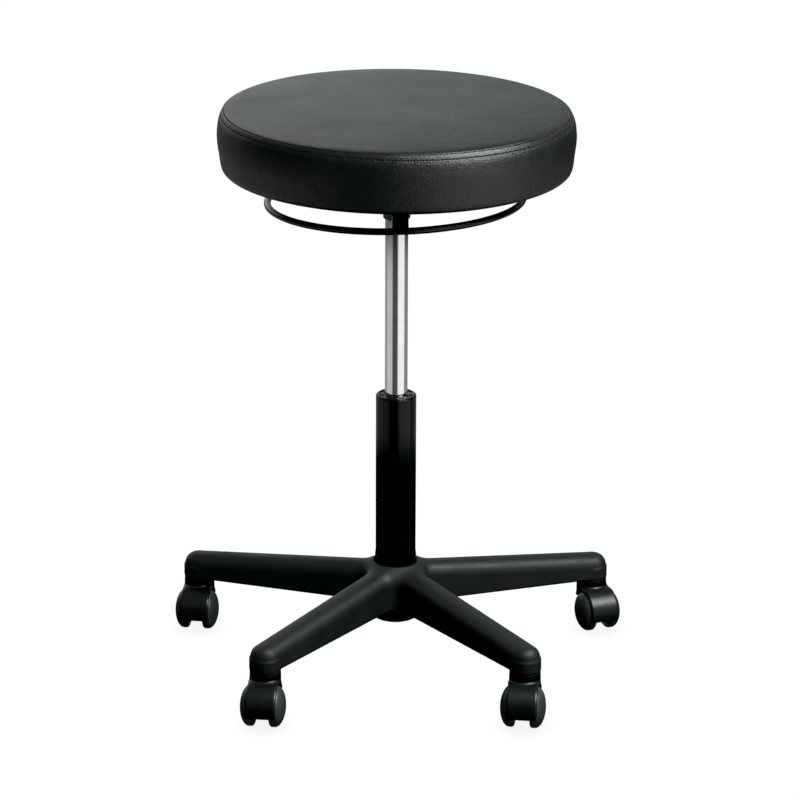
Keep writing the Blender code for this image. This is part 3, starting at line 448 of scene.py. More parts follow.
# ---------------------------------------------------------------- outlines
def rounded(outline, steps=4, closed=True):
    """Round an outline's corners. A point is (radius, z) or (radius, z, corner radius)."""
    out, count = [], len(outline)
    for i, point in enumerate(outline):
        corner_radius = point[2] if len(point) > 2 else 0.0
        if corner_radius <= 0 or (not closed and i in (0, count - 1)):
            out.append(point[:2])
            continue
        before, corner, after = (
            np.array(outline[k % count][:2], float) for k in (i - 1, i, i + 1)
        )
        to_before, to_after = np.linalg.norm(before - corner), np.linalg.norm(after - corner)
        back, ahead = (before - corner) / to_before, (after - corner) / to_after
        angle = math.acos(max(-1.0, min(1.0, float(back @ ahead))))
        if angle > 3.10:  # nearly straight: nothing to round
            out.append(point[:2])
            continue
        cut = min(corner_radius / math.tan(angle / 2), 0.49 * to_before, 0.49 * to_after)
        radius = cut * math.tan(angle / 2)
        halfway = (back + ahead) / np.linalg.norm(back + ahead)
        centre = corner + halfway * (radius / math.sin(angle / 2))
        first, last = corner + back * cut - centre, corner + ahead * cut - centre
        start = math.atan2(first[1], first[0])
        turn = math.atan2(last[1], last[0]) - start
        turn = (turn + math.pi) % (2 * math.pi) - math.pi
        for k in range(steps + 1):
            at = start + turn * k / steps
            out.append((
                float(centre[0] + radius * math.cos(at)),
                float(centre[1] + radius * math.sin(at)),
            ))
    return out


def spline(points, per=4):
    """A smooth curve through (radius, z) points, ends included, `per` steps to a span."""
    points = [np.array(p, float) for p in points]
    points = [2 * points[0] - points[1]] + points + [2 * points[-1] - points[-2]]
    out = []
    for i in range(1, len(points) - 2):
        near = points[i - 1 : i + 3]
        knots = [0.0]
        for start, end in zip(near, near[1:]):
            knots.append(knots[-1] + max(1e-9, np.linalg.norm(end - start)) ** 0.5)
        for k in range(per):
            at = knots[1] + (knots[2] - knots[1]) * k / per
            level = near
            # blend neighbours three times, each time between the knots that bound them
            for first, reach in ((0, 1), (0, 2), (1, 1)):
                blended = []
                for j in range(len(level) - 1):
                    low, high = knots[j + first], knots[j + first + reach]
                    blended.append(
                        (high - at) / (high - low) * level[j]
                        + (at - low) / (high - low) * level[j + 1]
                    )
                level = blended
            out.append(level[0])
    out.append(points[-2])
    return [(float(r), float(z)) for r, z in out]


def offset_curve(curve, distance):
    """Move a (radius, z) curve sideways by a distance."""
    out = []
    for i, (r, z) in enumerate(curve):
        r0, z0 = curve[max(0, i - 1)]
        r1, z1 = curve[min(len(curve) - 1, i + 1)]
        length = math.hypot(r1 - r0, z1 - z0) or 1.0
        out.append((
            max(0.0, r + distance * (z1 - z0) / length),
            z - distance * (r1 - r0) / length,
        ))
    return out


# ---------------------------------------------------------------- meshes
def finish_mesh(mesh, sharp_deg=None):
    mesh.shade_smooth()
    if sharp_deg is not None:
        mesh.set_sharp_from_angle(angle=math.radians(sharp_deg))
    return mesh


def face_outward(bm):
    bmesh.ops.recalc_face_normals(bm, faces=bm.faces)


def mesh_from(bm, name, sharp_deg=None, transform=None):
    mesh = bpy.data.meshes.new(name)
    bm.to_mesh(mesh)
    bm.free()
    if transform is not None:
        mesh.transform(transform)
    return finish_mesh(mesh, sharp_deg)


def get_points(mesh):
    return np.array([v.co for v in mesh.vertices])


def set_points(mesh, points):
    mesh.vertices.foreach_set("co", points.astype(np.float32).ravel())
    mesh.update()


def bridge(bm, rings):
    """Skin a row of vertex rings and cap both ends."""
    for ring, following in zip(rings, rings[1:]):
        for k in range(len(ring)):
            m = (k + 1) % len(ring)
            bm.faces.new((ring[k], ring[m], following[m], following[k]))
    bm.faces.new(rings[0])
    bm.faces.new(rings[-1])


def turned(name, profile, segments, axis="Z", sharp_deg=38.0, move=(0.0, 0.0, 0.0)):
    """Spin a closed outline of (radius, height). Points on the axis close into poles."""
    angle = np.arange(segments) * 2 * math.pi / segments
    ring = np.stack([np.cos(angle), np.sin(angle)], 1)
    verts, index = [], []
    for r, z in profile:
        r = max(0.0, r)
        if r < 1e-7:
            index.append([len(verts)] * segments)
            verts.append((0.0, 0.0, z))
        else:
            index.append(list(range(len(verts), len(verts) + segments)))
            verts.extend((r * c, r * s, z) for c, s in ring)
    faces = []
    for lower, upper in zip(index, index[1:] + index[:1]):
        if lower[0] == lower[-1] and upper[0] == upper[-1]:
            continue
        for k in range(segments):
            m = (k + 1) % segments
            quad = [lower[k], lower[m], upper[m], upper[k]]
            faces.append(list(dict.fromkeys(quad)))
    points = np.array(verts)
    if axis == "X":
        points = points[:, [2, 0, 1]]
    mesh = bpy.data.meshes.new(name)
    mesh.from_pydata((points + np.array(move)).tolist(), [], faces)
    bm = bmesh.new()
    bm.from_mesh(mesh)
    face_outward(bm)
    bm.to_mesh(mesh)
    bm.free()
    return finish_mesh(mesh, sharp_deg)


def smin(first, second, blend):
    """Union of two fields, filleted over the width `blend`."""
    share = np.maximum(blend - np.abs(first - second), 0.0) / blend
    return np.minimum(first, second) - share * share * (blend / 4)


def smax(first, second, blend):
    """Intersection of two fields, rounded over the width `blend`."""
    return -smin(-first, -second, blend)


def settle(points, field, step):
    """Pull points on to the field's zero surface, in two short moves."""
    reach = step * 0.08
    for _ in range(2):
        value = field(points[:, 0], points[:, 1], points[:, 2])
        slope = np.stack(
            [
                (field(*(points + way * reach).T) - field(*(points - way * reach).T))
                / (2 * reach)
                for way in np.eye(3)
            ],
            1,
        )
        move = -value[:, None] * slope / np.maximum((slope * slope).sum(1), 0.04)[:, None]
        length = np.linalg.norm(move, axis=1)
        move *= np.minimum(1.0, 0.6 * step / np.maximum(length, 1e-12))[:, None]
        points = points + move
    return points


def skinned(name, field, low, high, step):
    """A smooth closed mesh over the zero surface of a field that is negative inside.

    It has one vertex per crossed grid cell, pulled on to the surface.
    """
    axes = [np.arange(low[i], high[i] + step, step, dtype=np.float64) for i in range(3)]
    values = np.empty([len(a) for a in axes], np.float32)
    slab = 24  # the field is sampled a slab at a time, to save memory
    for i in range(0, len(axes[0]), slab):
        grid = np.meshgrid(axes[0][i : i + slab], axes[1], axes[2], indexing="ij")
        values[i : i + slab] = field(*grid)
    inside = values < 0
    cells = [n - 1 for n in inside.shape]
    corners = list(np.ndindex(2, 2, 2))
    count = sum(
        inside[tuple(slice(c, c + n) for c, n in zip(corner, cells))].astype(np.int8)
        for corner in corners
    )
    mixed = np.argwhere((count > 0) & (count < 8))
    index = -np.ones(cells, np.int64)
    index[tuple(mixed.T)] = np.arange(len(mixed))

    # each vertex starts at the mean of its cell's edge crossings
    total, hits = np.zeros((len(mixed), 3)), np.zeros(len(mixed))
    for corner in corners:
        for d in range(3):
            if corner[d]:
                continue
            start = mixed + np.array(corner)
            way = np.eye(3, dtype=int)[d]
            here = values[tuple(start.T)].astype(float)
            there = values[tuple((start + way).T)].astype(float)
            cross = (here < 0) != (there < 0)
            share = np.where(cross, here / np.where(cross, here - there, 1.0), 0.0)
            total[cross] += (start + share[:, None] * way)[cross]
            hits[cross] += 1
    verts = np.array([a[0] for a in axes]) + step * total / hits[:, None]

    # one quad round every grid edge that crosses the surface
    quads = []
    for d in range(3):
        e, f = (d + 1) % 3, (d + 2) % 3
        change = np.argwhere(np.diff(inside, axis=d))
        for side in (e, f):
            change = change[(change[:, side] > 0) & (change[:, side] < inside.shape[side] - 1)]
        first_in = inside[tuple(change.T)]
        around = []
        for step_e, step_f in ((-1, -1), (0, -1), (0, 0), (-1, 0)):
            cell = change.copy()
            cell[:, e] += step_e
            cell[:, f] += step_f
            around.append(index[tuple(cell.T)])
        quad = np.stack(around, 1)
        quad[~first_in] = quad[~first_in][:, ::-1]
        quads.append(quad)
    quads = np.concatenate(quads)

    # even out the vertices, then settle them again
    verts = settle(verts, field, step)
    starts = np.concatenate([quads[:, i] for i in range(4)])
    ends = np.concatenate([quads[:, (i + 1) % 4] for i in range(4)])
    for _ in range(2):
        near, n = np.zeros_like(verts), np.zeros(len(verts))
        for own, other in ((starts, ends), (ends, starts)):
            for d in range(3):
                near[:, d] += np.bincount(own, verts[other, d], len(verts))
            n += np.bincount(own, minlength=len(verts))
        verts = settle(verts * 0.5 + 0.5 * near / n[:, None], field, step)

    mesh = bpy.data.meshes.new(name)
    mesh.vertices.add(len(verts))
    mesh.vertices.foreach_set("co", verts.astype(np.float32).ravel())
    mesh.loops.add(len(quads) * 4)
    mesh.loops.foreach_set("vertex_index", quads.astype(np.int32).ravel())
    mesh.polygons.add(len(quads))
    mesh.polygons.foreach_set("loop_start", np.arange(len(quads), dtype=np.int32) * 4)
    mesh.update(calc_edges=True)
    mesh.validate()
    return finish_mesh(mesh)


# ---------------------------------------------------------------- objects
def link(name, mesh, material=None):
    obj = bpy.data.objects.new(name, mesh)
    bpy.context.scene.collection.objects.link(obj)
    if material is not None:
        mesh.materials.append(material)
    return obj


def piece(name, mesh, material, body, node):
    """Add a finished piece that moves with a body and stands in for a CAD node, if any."""
    obj = link(name, mesh, material)
    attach(obj, body)
    if node:
        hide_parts(node)


def column_piece(name, node, body, material, segments, steps, outline):
    """A turned piece on the column's axis, its outline's corners rounded in `steps`."""
    mesh = turned(name, rounded(outline, steps), segments, move=COLUMN_AT)
    piece(name, mesh, material, body, node)


def refinish(node, material, width, segments):
    """Give a CAD node a material and round its edges; its own mesh stays as packed."""
    node.data.materials.clear()
    node.data.materials.append(material)
    weld = node.modifiers.new("weld", "WELD")
    weld.merge_threshold = 0.00001
    bevel = node.modifiers.new("edges", "BEVEL")
    bevel.width = width
    bevel.segments = segments
    bevel.limit_method = "ANGLE"
    bevel.angle_limit = math.radians(35.0)
    bevel.use_clamp_overlap = True
    smooth = node.modifiers.new("normals", "WEIGHTED_NORMAL")
    smooth.keep_sharp = True


# ---------------------------------------------------------------- base
ARM_COUNT = 5
PIVOT = 0.2645  # from the column's axis to a stem's axis
ARM_BOTTOM = 0.0655
ARM_TOP_AT_AXIS = 0.1167
ARM_SLOPE = 0.0816
ARM_SIDE = 0.0182  # half the width at the shoulder, and the crown's height above it
ARM_FOOT = 0.0189  # half the width at the bottom
ARM_WALL = 0.0040
CROWN = 2.45  # exponent of the crown's rounded section
HUB_RADIUS = 0.0385
HUB_NECK_RADIUS = 0.0272  # where the cone meets the hub's top
CONE_NORMAL = (0.7396, 0.6731)  # outward and up
BOSS_RADIUS = 0.0285
BOSS_LIP, BOSS_LIP_Z, BOSS_LIP_RISE = 0.0010, 0.0488, 0.0012
SOCKET_TOP = 0.0800  # inside the arm, for the boss and the stem sockets
STEM_SOCKET_RADIUS = 0.0192
STEM_SOCKET_BOTTOM = 0.0640
STEM_BORE, STEM_BORE_TOP = 0.0066, 0.0882
TUBE_BORE = 0.0256
RIB_HALF = 0.0016
LONG_RIB_GAP = 0.0050  # from the arm's bottom up to the rib's lower edge
# cross ribs: distance along the arm, gap under the rib
CROSS_RIBS = (
    (0.0780, 0.0080), (0.1100, 0.0080), (0.1405, 0.0040), (0.1700, 0.0080), (0.2000, 0.0080),
)


def arm_distance(along, side, z):
    """One arm, swept round the stem's axis at its end; straight sides under a full crown."""
    top = ARM_TOP_AT_AXIS - ARM_SLOPE * np.minimum(along, PIVOT)
    across = np.hypot(side, np.maximum(along - PIVOT, 0.0))
    shoulder = top - ARM_SIDE
    rise = np.maximum(z - shoulder, 0.0)
    crown = (across**CROWN + rise**CROWN) ** (1.0 / CROWN)
    depth = np.clip((shoulder - z) / np.maximum(shoulder - ARM_BOTTOM, 0.004), 0.0, 1.0)
    return crown - (ARM_SIDE + (ARM_FOOT - ARM_SIDE) * depth)


def arm_hollow(arm, along, side, z, r):
    """The room inside an arm, open below, less one long rib and the cross ribs."""
    hollow = arm + ARM_WALL
    hollow = smax(hollow, HUB_RADIUS + ARM_WALL - r, 0.003)
    hollow = smax(hollow, along - (PIVOT - 0.0195), 0.003)
    rib = np.maximum(side - RIB_HALF, (ARM_BOTTOM + LONG_RIB_GAP) - z)
    for place, gap in CROSS_RIBS:
        cross_rib = np.maximum(np.abs(along - place) - RIB_HALF, (ARM_BOTTOM + gap) - z)
        rib = np.minimum(rib, cross_rib)
    return smax(hollow, -rib, 0.0020)


def base_distance(x, y, z):
    dx, dy = x - COLUMN_X, y - COLUMN_Y
    r = np.hypot(dx, dy)
    # fold every point into half of one arm's share of the turn
    turn = 2 * math.pi / ARM_COUNT
    angle = np.abs((np.arctan2(dy, dx) - math.pi / 2 + turn / 2) % turn - turn / 2)
    along, side = r * np.cos(angle), r * np.sin(angle)
    arm = arm_distance(along, side, z)
    next_arm = arm_distance(r * np.cos(turn - angle), r * np.sin(turn - angle), z)
    solid = smin(arm, next_arm, 0.014)
    # the hub swells out of the arms and rises to the tube
    cone = (r - HUB_NECK_RADIUS) * CONE_NORMAL[0] + (z - HUB_TOP_Z) * CONE_NORMAL[1]
    hub = smax(smax(r - HUB_RADIUS, cone, 0.007), z - HUB_TOP_Z, 0.0012)
    solid = smin(solid, hub, 0.012)
    solid = smax(solid, ARM_BOTTOM - z, 0.0022)
    # boss under the hub, with a lip round its mouth
    lip = BOSS_LIP * np.clip((z - BOSS_LIP_Z) / BOSS_LIP_RISE, 0.0, 1.0)
    boss = smax(r - BOSS_RADIUS + lip, HUB_BOTTOM_Z - z, 0.0014)
    solid = smin(solid, smax(boss, z - SOCKET_TOP, 0.001), 0.005)
    # round socket for the stem at the arm's end
    from_stem = np.hypot(along - PIVOT, side)
    socket = smax(from_stem - STEM_SOCKET_RADIUS, STEM_SOCKET_BOTTOM - z, 0.0012)
    solid = smin(solid, smax(socket, z - SOCKET_TOP, 0.001), 0.0012)
    shell = arm
    solid = smax(solid, -arm_hollow(shell, along, side, z, r), 0.0016)
    # bores for the tube, flared at the mouth, and for the stems
    mouth = np.maximum(z - (HUB_TOP_Z - 0.0026), 0.0)
    solid = smax(solid, TUBE_BORE + 0.55 * mouth - r, 0.0008)
    bore = np.maximum(from_stem - STEM_BORE, z - STEM_BORE_TOP)
    return smax(solid, -bore, 0.0008)


def build_base():
    low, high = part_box("base")
    pad = 0.006
    step = 0.0018
    low, high = [c - pad for c in low], [c + pad for c in high]
    mesh = skinned("base_moulding", base_distance, low, high, step)
    piece("base_moulding", mesh, BASE_NYLON, "base", "base")


# ---------------------------------------------------------------- casters
# In a caster's own frame Z is the swivel axis, and the axle lies along X at y = -TRAIL.
CASTER_NAMES = ("right", "back", "left", "front_left", "front_right")
TRAIL = 0.0200
WHEEL_RADIUS = 0.0250
WHEEL_INNER_FACE = 0.0093  # from the caster's middle plane
WHEEL_SHOULDER, WHEEL_DOME = 0.0155, 0.0120  # where the dome starts, and its height
RIM_ROUND = 0.0034
AXLE_BORE = 0.0031
HOOD_RADIUS, HOOD_HALF, HOOD_ROUND = 0.0285, 0.0190, 0.0034
HOOD_CUTS = (math.radians(13.0), math.radians(147.0))  # the planes that bound the hood
WHEEL_ROOM = 0.0263
WEB_HALF = 0.0088
NECK_RADIUS, NECK_BOTTOM, NECK_TOP = 0.0190, 0.0400, 0.0603
WEB_END = 0.0320
# the web's lower edge: distance along +Y and height, both from the axle
WEB_UNDERSIDE = ((-0.0271, -0.0050), (0.0, -0.0138), (0.0100, -0.0095), (WEB_END, 0.0060))


def hood_field(x, y, z):
    """The caster's body: hood over both wheels, web between them and neck above."""
    ahead, height = y + TRAIL, z - WHEEL_RADIUS
    from_axle, half, from_swivel = np.hypot(ahead, height), np.abs(x), np.hypot(x, y)
    # drum with soft shoulders, kept between two planes through the axle
    over_rim = from_axle - HOOD_RADIUS + HOOD_ROUND
    over_side = half - HOOD_HALF + HOOD_ROUND
    corner = np.hypot(np.maximum(over_rim, 0.0), np.maximum(over_side, 0.0))
    drum = np.minimum(np.maximum(over_rim, over_side), 0.0) + corner - HOOD_ROUND
    first, second = HOOD_CUTS
    wedge = smax(
        ahead * math.sin(first) - height * math.cos(first),
        ahead * math.sin(second) + height * math.cos(second),
        0.001,
    )
    drum = smax(drum, wedge, 0.0012)
    neck = smax(from_swivel - NECK_RADIUS, z - NECK_TOP, 0.0014)
    neck = smax(neck, NECK_BOTTOM - z, 0.003)
    body = smin(drum, neck, 0.0065)
    room = smax(from_axle - WHEEL_ROOM, WEB_HALF - half, 0.0012)
    body = smax(body, -room, 0.0010)

    def below_line(start, end):
        run, rise = end[0] - start[0], end[1] - start[1]
        across = (height - start[1]) * run - (ahead - start[0]) * rise
        return -across / math.hypot(run, rise)

    # web that carries the axle
    lines = [below_line(start, end) for start, end in zip(WEB_UNDERSIDE, WEB_UNDERSIDE[1:])]
    under = smax(smax(lines[0], lines[1], 0.004), lines[2], 0.004)
    over = np.minimum(from_axle - 0.0272, np.maximum(height - 0.0262, 0.0060 - ahead))
    web = smax(smax(under, ahead - WEB_END, 0.002), np.maximum(over, half - WEB_HALF), 0.0010)
    whole = smin(body, web, 0.0014)
    # bores for the stem and the axle
    whole = smax(whole, -np.maximum(from_swivel - 0.0063, 0.0430 - z), 0.0006)
    return smax(whole, AXLE_BORE - from_axle, 0.0005)


def wheel_profile():
    """Outline of (radius, distance from the caster's middle plane): a domed, hollow shell."""
    dome = []
    for k in range(25):
        r = WHEEL_RADIUS * math.cos(math.pi / 2 * k / 24)
        bulge = math.sqrt(max(0.0, 1.0 - (r / WHEEL_RADIUS) ** 2))
        dome.append((r, WHEEL_SHOULDER + WHEEL_DOME * bulge))
    rim = []
    for k in range(9):
        angle = math.pi / 2 * k / 8
        rim.append((
            WHEEL_RADIUS - RIM_ROUND + RIM_ROUND * math.sin(angle),
            WHEEL_INNER_FACE + RIM_ROUND - RIM_ROUND * math.cos(angle),
        ))
    inner = [
        (0.0, 0.0222), (AXLE_BORE, 0.0222), (AXLE_BORE, WHEEL_INNER_FACE),
        (0.0062, WHEEL_INNER_FACE, 0.0006), (0.0066, 0.0215, 0.0020),
        (0.0170, 0.0190, 0.0020), (0.0212, 0.0100, 0.0010),
    ]
    return rounded(inner, 3, closed=False) + rim + dome


def wheel_mesh(side, sign):
    profile = [(r, sign * away) for r, away in wheel_profile()]
    segments = 112
    mesh = turned(f"wheel_mesh_{side}", profile, segments, "X", sharp_deg=50.0)
    mesh.materials.append(WHEEL_NYLON)
    mesh.materials.append(TREAD_NYLON)
    for face in mesh.polygons:
        x, y, z = face.center
        if 0.0100 < abs(x) < 0.0172 and math.hypot(y, z) > 0.0236:
            face.material_index = 1
    return mesh


def build_casters():
    step = 0.0009
    hood = skinned(
        "caster_body_mesh", hood_field, (-0.0215, -0.0510, 0.0080), (0.0215, 0.0225, 0.0625), step
    )
    wheels = {"a": wheel_mesh("a", 1.0), "b": wheel_mesh("b", -1.0)}
    outline = [(0.0061, 0.0606), (0.0188, 0.0606, 0.0007), (0.0188, 0.0637, 0.0009),
               (0.0061, 0.0637)]
    washer = turned("caster_washer_mesh", rounded(outline, 4), 96)
    outline = [
        (0.0, 0.0434), (0.0055, 0.0434, 0.0008), (0.0055, 0.0800, 0.0003),
        (0.0043, 0.0806, 0.0003), (0.0043, 0.0824, 0.0003), (0.0055, 0.0830, 0.0003),
        (0.0055, 0.0858, 0.0008), (0.0037, 0.0876, 0.0008), (0.0, 0.0876),
    ]
    stem = turned("caster_stem_mesh", rounded(outline, 3), 48)
    outline = [(0.0, -0.0221), (0.0028, -0.0221, 0.0006), (0.0028, 0.0221, 0.0006), (0.0, 0.0221)]
    axle = turned("caster_axle_mesh", rounded(outline, 3), 32, "X")
    axes = {joint["name"]: joint["axis"] for joint in frame["joints"]}
    for name in CASTER_NAMES:
        axis = axes[f"roll_{name}_a"]
        pivot = Matrix.Translation((*middle(f"caster_stem_{name}"), 0.0))
        pivot = pivot @ Matrix.Rotation(math.atan2(axis[1], axis[0]), 4, "Z")
        axle_at = pivot @ Matrix.Translation((0.0, -TRAIL, WHEEL_RADIUS))
        body = f"caster_{name}"
        # object, mesh, place, body, CAD node, material, slot
        parts = [
            ("caster_body", hood, pivot, body, f"caster_hood_{name}",
             CASTER_NYLON, "caster_nylon"),
            ("caster_axle_pin", axle, axle_at, body, f"caster_axle_{name}", ZINC, "zinc_steel"),
            ("caster_stem_pin", stem, pivot, "base", f"caster_stem_{name}", ZINC, "zinc_steel"),
            ("caster_ring", washer, pivot, "base", f"caster_washer_{name}",
             SHADED_WASHER, "caster_washer"),
        ]
        for side, mesh in wheels.items():
            wheel = f"wheel_{name}_{side}"
            part = f"wheel_shell_{side}"
            parts.append((part, mesh, axle_at, wheel, wheel, None, "caster_wheel"))
        # each copy's own mesh is turned into place, so the grain is never the same twice
        for part, mesh, at, rides, node, material, slot in parts:
            own = mesh.copy()
            own.transform(at)
            piece(f"{part}_{name}", own, material, rides, node)


# ---------------------------------------------------------------- column
# Outlines are (radius, z) or (radius, z, corner radius).
TUBE_RADIUS, TUBE_INNER = 0.0250, 0.0232
CYLINDER_RADIUS, TAPER_END_RADIUS = 0.0140, 0.0131
CYLINDER_BORE = 0.0119
ROD_RADIUS, ROD_GROOVE_RADIUS, ROD_END_RADIUS = 0.0050, 0.0038, 0.0030
BALL_CIRCLE, BALL_RADIUS, BALL_COUNT = 0.0105, 0.0020, 6
RACE_HEIGHT, RACE_OUTER = 0.0025, 0.0150


def taper(z):
    """The gas cylinder's radius within the taper socket."""
    start = SOCKET_BOTTOM_Z
    share = (z - start - 0.001) / (CYLINDER_TOP_Z - start - 0.002)
    narrowing = TAPER_END_RADIUS - CYLINDER_RADIUS
    return CYLINDER_RADIUS + narrowing * max(0.0, min(1.0, share))


def build_tube():
    low, top = TUBE_BOTTOM_Z, TUBE_TOP_Z
    column_piece(
        "column_tube", "outer_tube", "base", TUBE_PAINT, segments=160, steps=5,
        outline=[
            (0.0060, low), (TUBE_RADIUS, low, 0.0020), (TUBE_RADIUS, low + 0.0045),
            (TUBE_RADIUS, top - 0.0030), (TUBE_RADIUS, top, 0.0011), (TUBE_INNER, top, 0.0004),
            (TUBE_INNER, low + 0.0030, 0.0010), (0.0060, low + 0.0030),
        ],
    )


def build_guide_bush():
    """A flanged collar whose top face has a raised rim and eight moulded pockets."""
    top = TUBE_TOP_Z
    outline = [
        (0.0143, 0.2650), (0.0229, 0.2650, 0.0005), (0.0229, top + 0.0012, 0.0006),
        (0.0214, top + 0.0012, 0.0003), (0.0210, top - 0.0002, 0.0003),
        (0.0168, top - 0.0002, 0.0003), (0.0164, top + 0.0013, 0.0003),
        (0.0143, top + 0.0006, 0.0004),
    ]
    pockets, web_height = 8, 0.0012
    name = "guide_bush_moulding"
    mesh = turned(name, rounded(outline, 3), 160, sharp_deg=32.0, move=COLUMN_AT)
    for v in mesh.vertices:
        dx, dy = v.co.x - COLUMN_X, v.co.y - COLUMN_Y
        if v.co.z > top - 0.0008 and 0.0166 < math.hypot(dx, dy) < 0.0212:
            web = 0.5 + 0.5 * math.cos(pockets * math.atan2(dy, dx))
            v.co.z += web_height * max(0.0, min(1.0, (web - 0.62) / 0.12))
    piece(name, mesh, BUSH, "base", "guide_bush")


def build_gas_cylinder():
    low, high = CYLINDER_BOTTOM_Z, CYLINDER_TOP_Z
    column_piece(
        "chrome_cylinder", "gas_cylinder", "seat", CHROME, segments=160, steps=4,
        outline=[
            (0.0122, low), (CYLINDER_RADIUS, low, 0.0010), (CYLINDER_RADIUS, low + 0.0030),
            (CYLINDER_RADIUS, SOCKET_BOTTOM_Z - 0.0010),
            (CYLINDER_RADIUS, SOCKET_BOTTOM_Z + 0.0010), (taper(high), high, 0.0010),
            (0.0043, high, 0.0003), (0.0043, 0.5600), (0.0122, 0.5560),
        ],
    )
    column_piece(
        "cylinder_seal", "rod_seal", "seat", RUBBER, segments=96, steps=3,
        outline=[
            (0.0053, low + 0.0010, 0.0004), (CYLINDER_BORE, low + 0.0010, 0.0006),
            (CYLINDER_BORE, 0.2880, 0.0003), (0.0115, 0.2885, 0.0003),
            (0.0115, 0.2905, 0.0003), (CYLINDER_BORE, 0.2910, 0.0003),
            (CYLINDER_BORE, 0.3010, 0.0006), (0.0053, 0.3010, 0.0004),
        ],
    )
    column_piece(
        "valve_pin", "release_pin", "release_pin", STEEL, segments=48, steps=4,
        outline=[
            (0.0, 0.5850), (0.0040, 0.5850, 0.0003), (0.0040, 0.6105, 0.0012), (0.0, 0.6105),
        ],
    )


def build_piston():
    groove = TUBE_BOTTOM_Z - 0.0034
    groove_top = groove + 0.0022
    column_piece(
        "piston_rod_ground", "piston_rod", "rod", STEEL, segments=64, steps=3,
        outline=[
            (0.0, 0.0400), (ROD_RADIUS, 0.0400, 0.0005), (ROD_RADIUS, groove, 0.0001),
            (ROD_GROOVE_RADIUS, groove, 0.0001), (ROD_GROOVE_RADIUS, groove_top, 0.0001),
            (ROD_RADIUS, groove_top, 0.0001), (ROD_RADIUS, 0.3160, 0.0003),
            (ROD_END_RADIUS, 0.3160), (ROD_END_RADIUS, 0.3335, 0.0005), (0.0, 0.3335),
        ],
    )
    column_piece(
        "piston_head", "piston", "rod", ZINC, segments=80, steps=3,
        outline=[
            (0.0033, 0.3163), (0.0100, 0.3163, 0.0004), (CYLINDER_BORE, 0.3175, 0.0004),
            (CYLINDER_BORE, 0.3215, 0.0002), (0.0112, 0.3220, 0.0002),
            (0.0112, 0.3245, 0.0002), (CYLINDER_BORE, 0.3250, 0.0002),
            (CYLINDER_BORE, 0.3290, 0.0004), (0.0100, 0.3300, 0.0004), (0.0033, 0.3300),
        ],
    )


def build_bearing():
    """Two grooved races and, between them, a flat ring that carries six steel balls."""
    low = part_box("bearing_lower_race")[0].z
    high = low + RACE_HEIGHT
    column_piece(
        "lower_race", "bearing_lower_race", "base", STEEL, segments=96, steps=3,
        outline=[
            (0.0060, low, 0.0003), (RACE_OUTER, low, 0.0004), (RACE_OUTER, high, 0.0004),
            (0.0126, high, 0.0002), (BALL_CIRCLE, low + 0.0020, 0.0012),
            (0.0084, high, 0.0002), (0.0060, high, 0.0003),
        ],
    )
    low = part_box("bearing_upper_race")[0].z
    high = low + RACE_HEIGHT
    column_piece(
        "upper_race", "bearing_upper_race", "rod", STEEL, segments=96, steps=3,
        outline=[
            (0.0053, low, 0.0003), (0.0084, low, 0.0002), (BALL_CIRCLE, low + 0.0005, 0.0012),
            (0.0126, low, 0.0002), (RACE_OUTER, low, 0.0004), (RACE_OUTER, high, 0.0004),
            (0.0053, high, 0.0003),
        ],
    )
    low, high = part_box("bearing_ball_cage")
    mid = (low.z + high.z) / 2
    half, soft = 0.0009, 0.0003
    outline = [
        (0.0062, mid - half, soft), (0.0148, mid - half, soft),
        (0.0148, mid + half, soft), (0.0062, mid + half, soft),
    ]
    cage = turned("bearing_cage_mesh", rounded(outline, 3), 96, move=COLUMN_AT)
    bm = bmesh.new()
    bm.from_mesh(cage)
    for i in range(BALL_COUNT):
        angle = 2 * math.pi * i / BALL_COUNT
        x = COLUMN_X + BALL_CIRCLE * math.cos(angle)
        y = COLUMN_Y + BALL_CIRCLE * math.sin(angle)
        ball = bmesh.ops.create_uvsphere(
            bm, u_segments=24, v_segments=14, radius=BALL_RADIUS,
            matrix=Matrix.Translation((x, y, mid)),
        )
        for face in {f for v in ball["verts"] for f in v.link_faces}:
            face.material_index = 1
    bm.to_mesh(cage)
    bm.free()
    finish_mesh(cage, 38.0)
    cage.materials.append(ZINC)
    cage.materials.append(STEEL)
    piece("ball_cage", cage, None, "bearing_cage", "bearing_ball_cage")


def build_buffer():
    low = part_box("buffer")[0].z
    column_piece(
        "rubber_buffer", "buffer", "rod", RUBBER, segments=96, steps=3,
        outline=[
            (0.0053, low, 0.0005), (0.0125, low, 0.0010), (0.0125, low + 0.0050, 0.0008),
            (0.0118, low + 0.0062, 0.0008), (0.0125, low + 0.0074, 0.0008),
            (0.0125, low + 0.0120, 0.0010), (0.0105, low + 0.0150, 0.0010),
            (0.0053, low + 0.0150, 0.0005),
        ],
    )


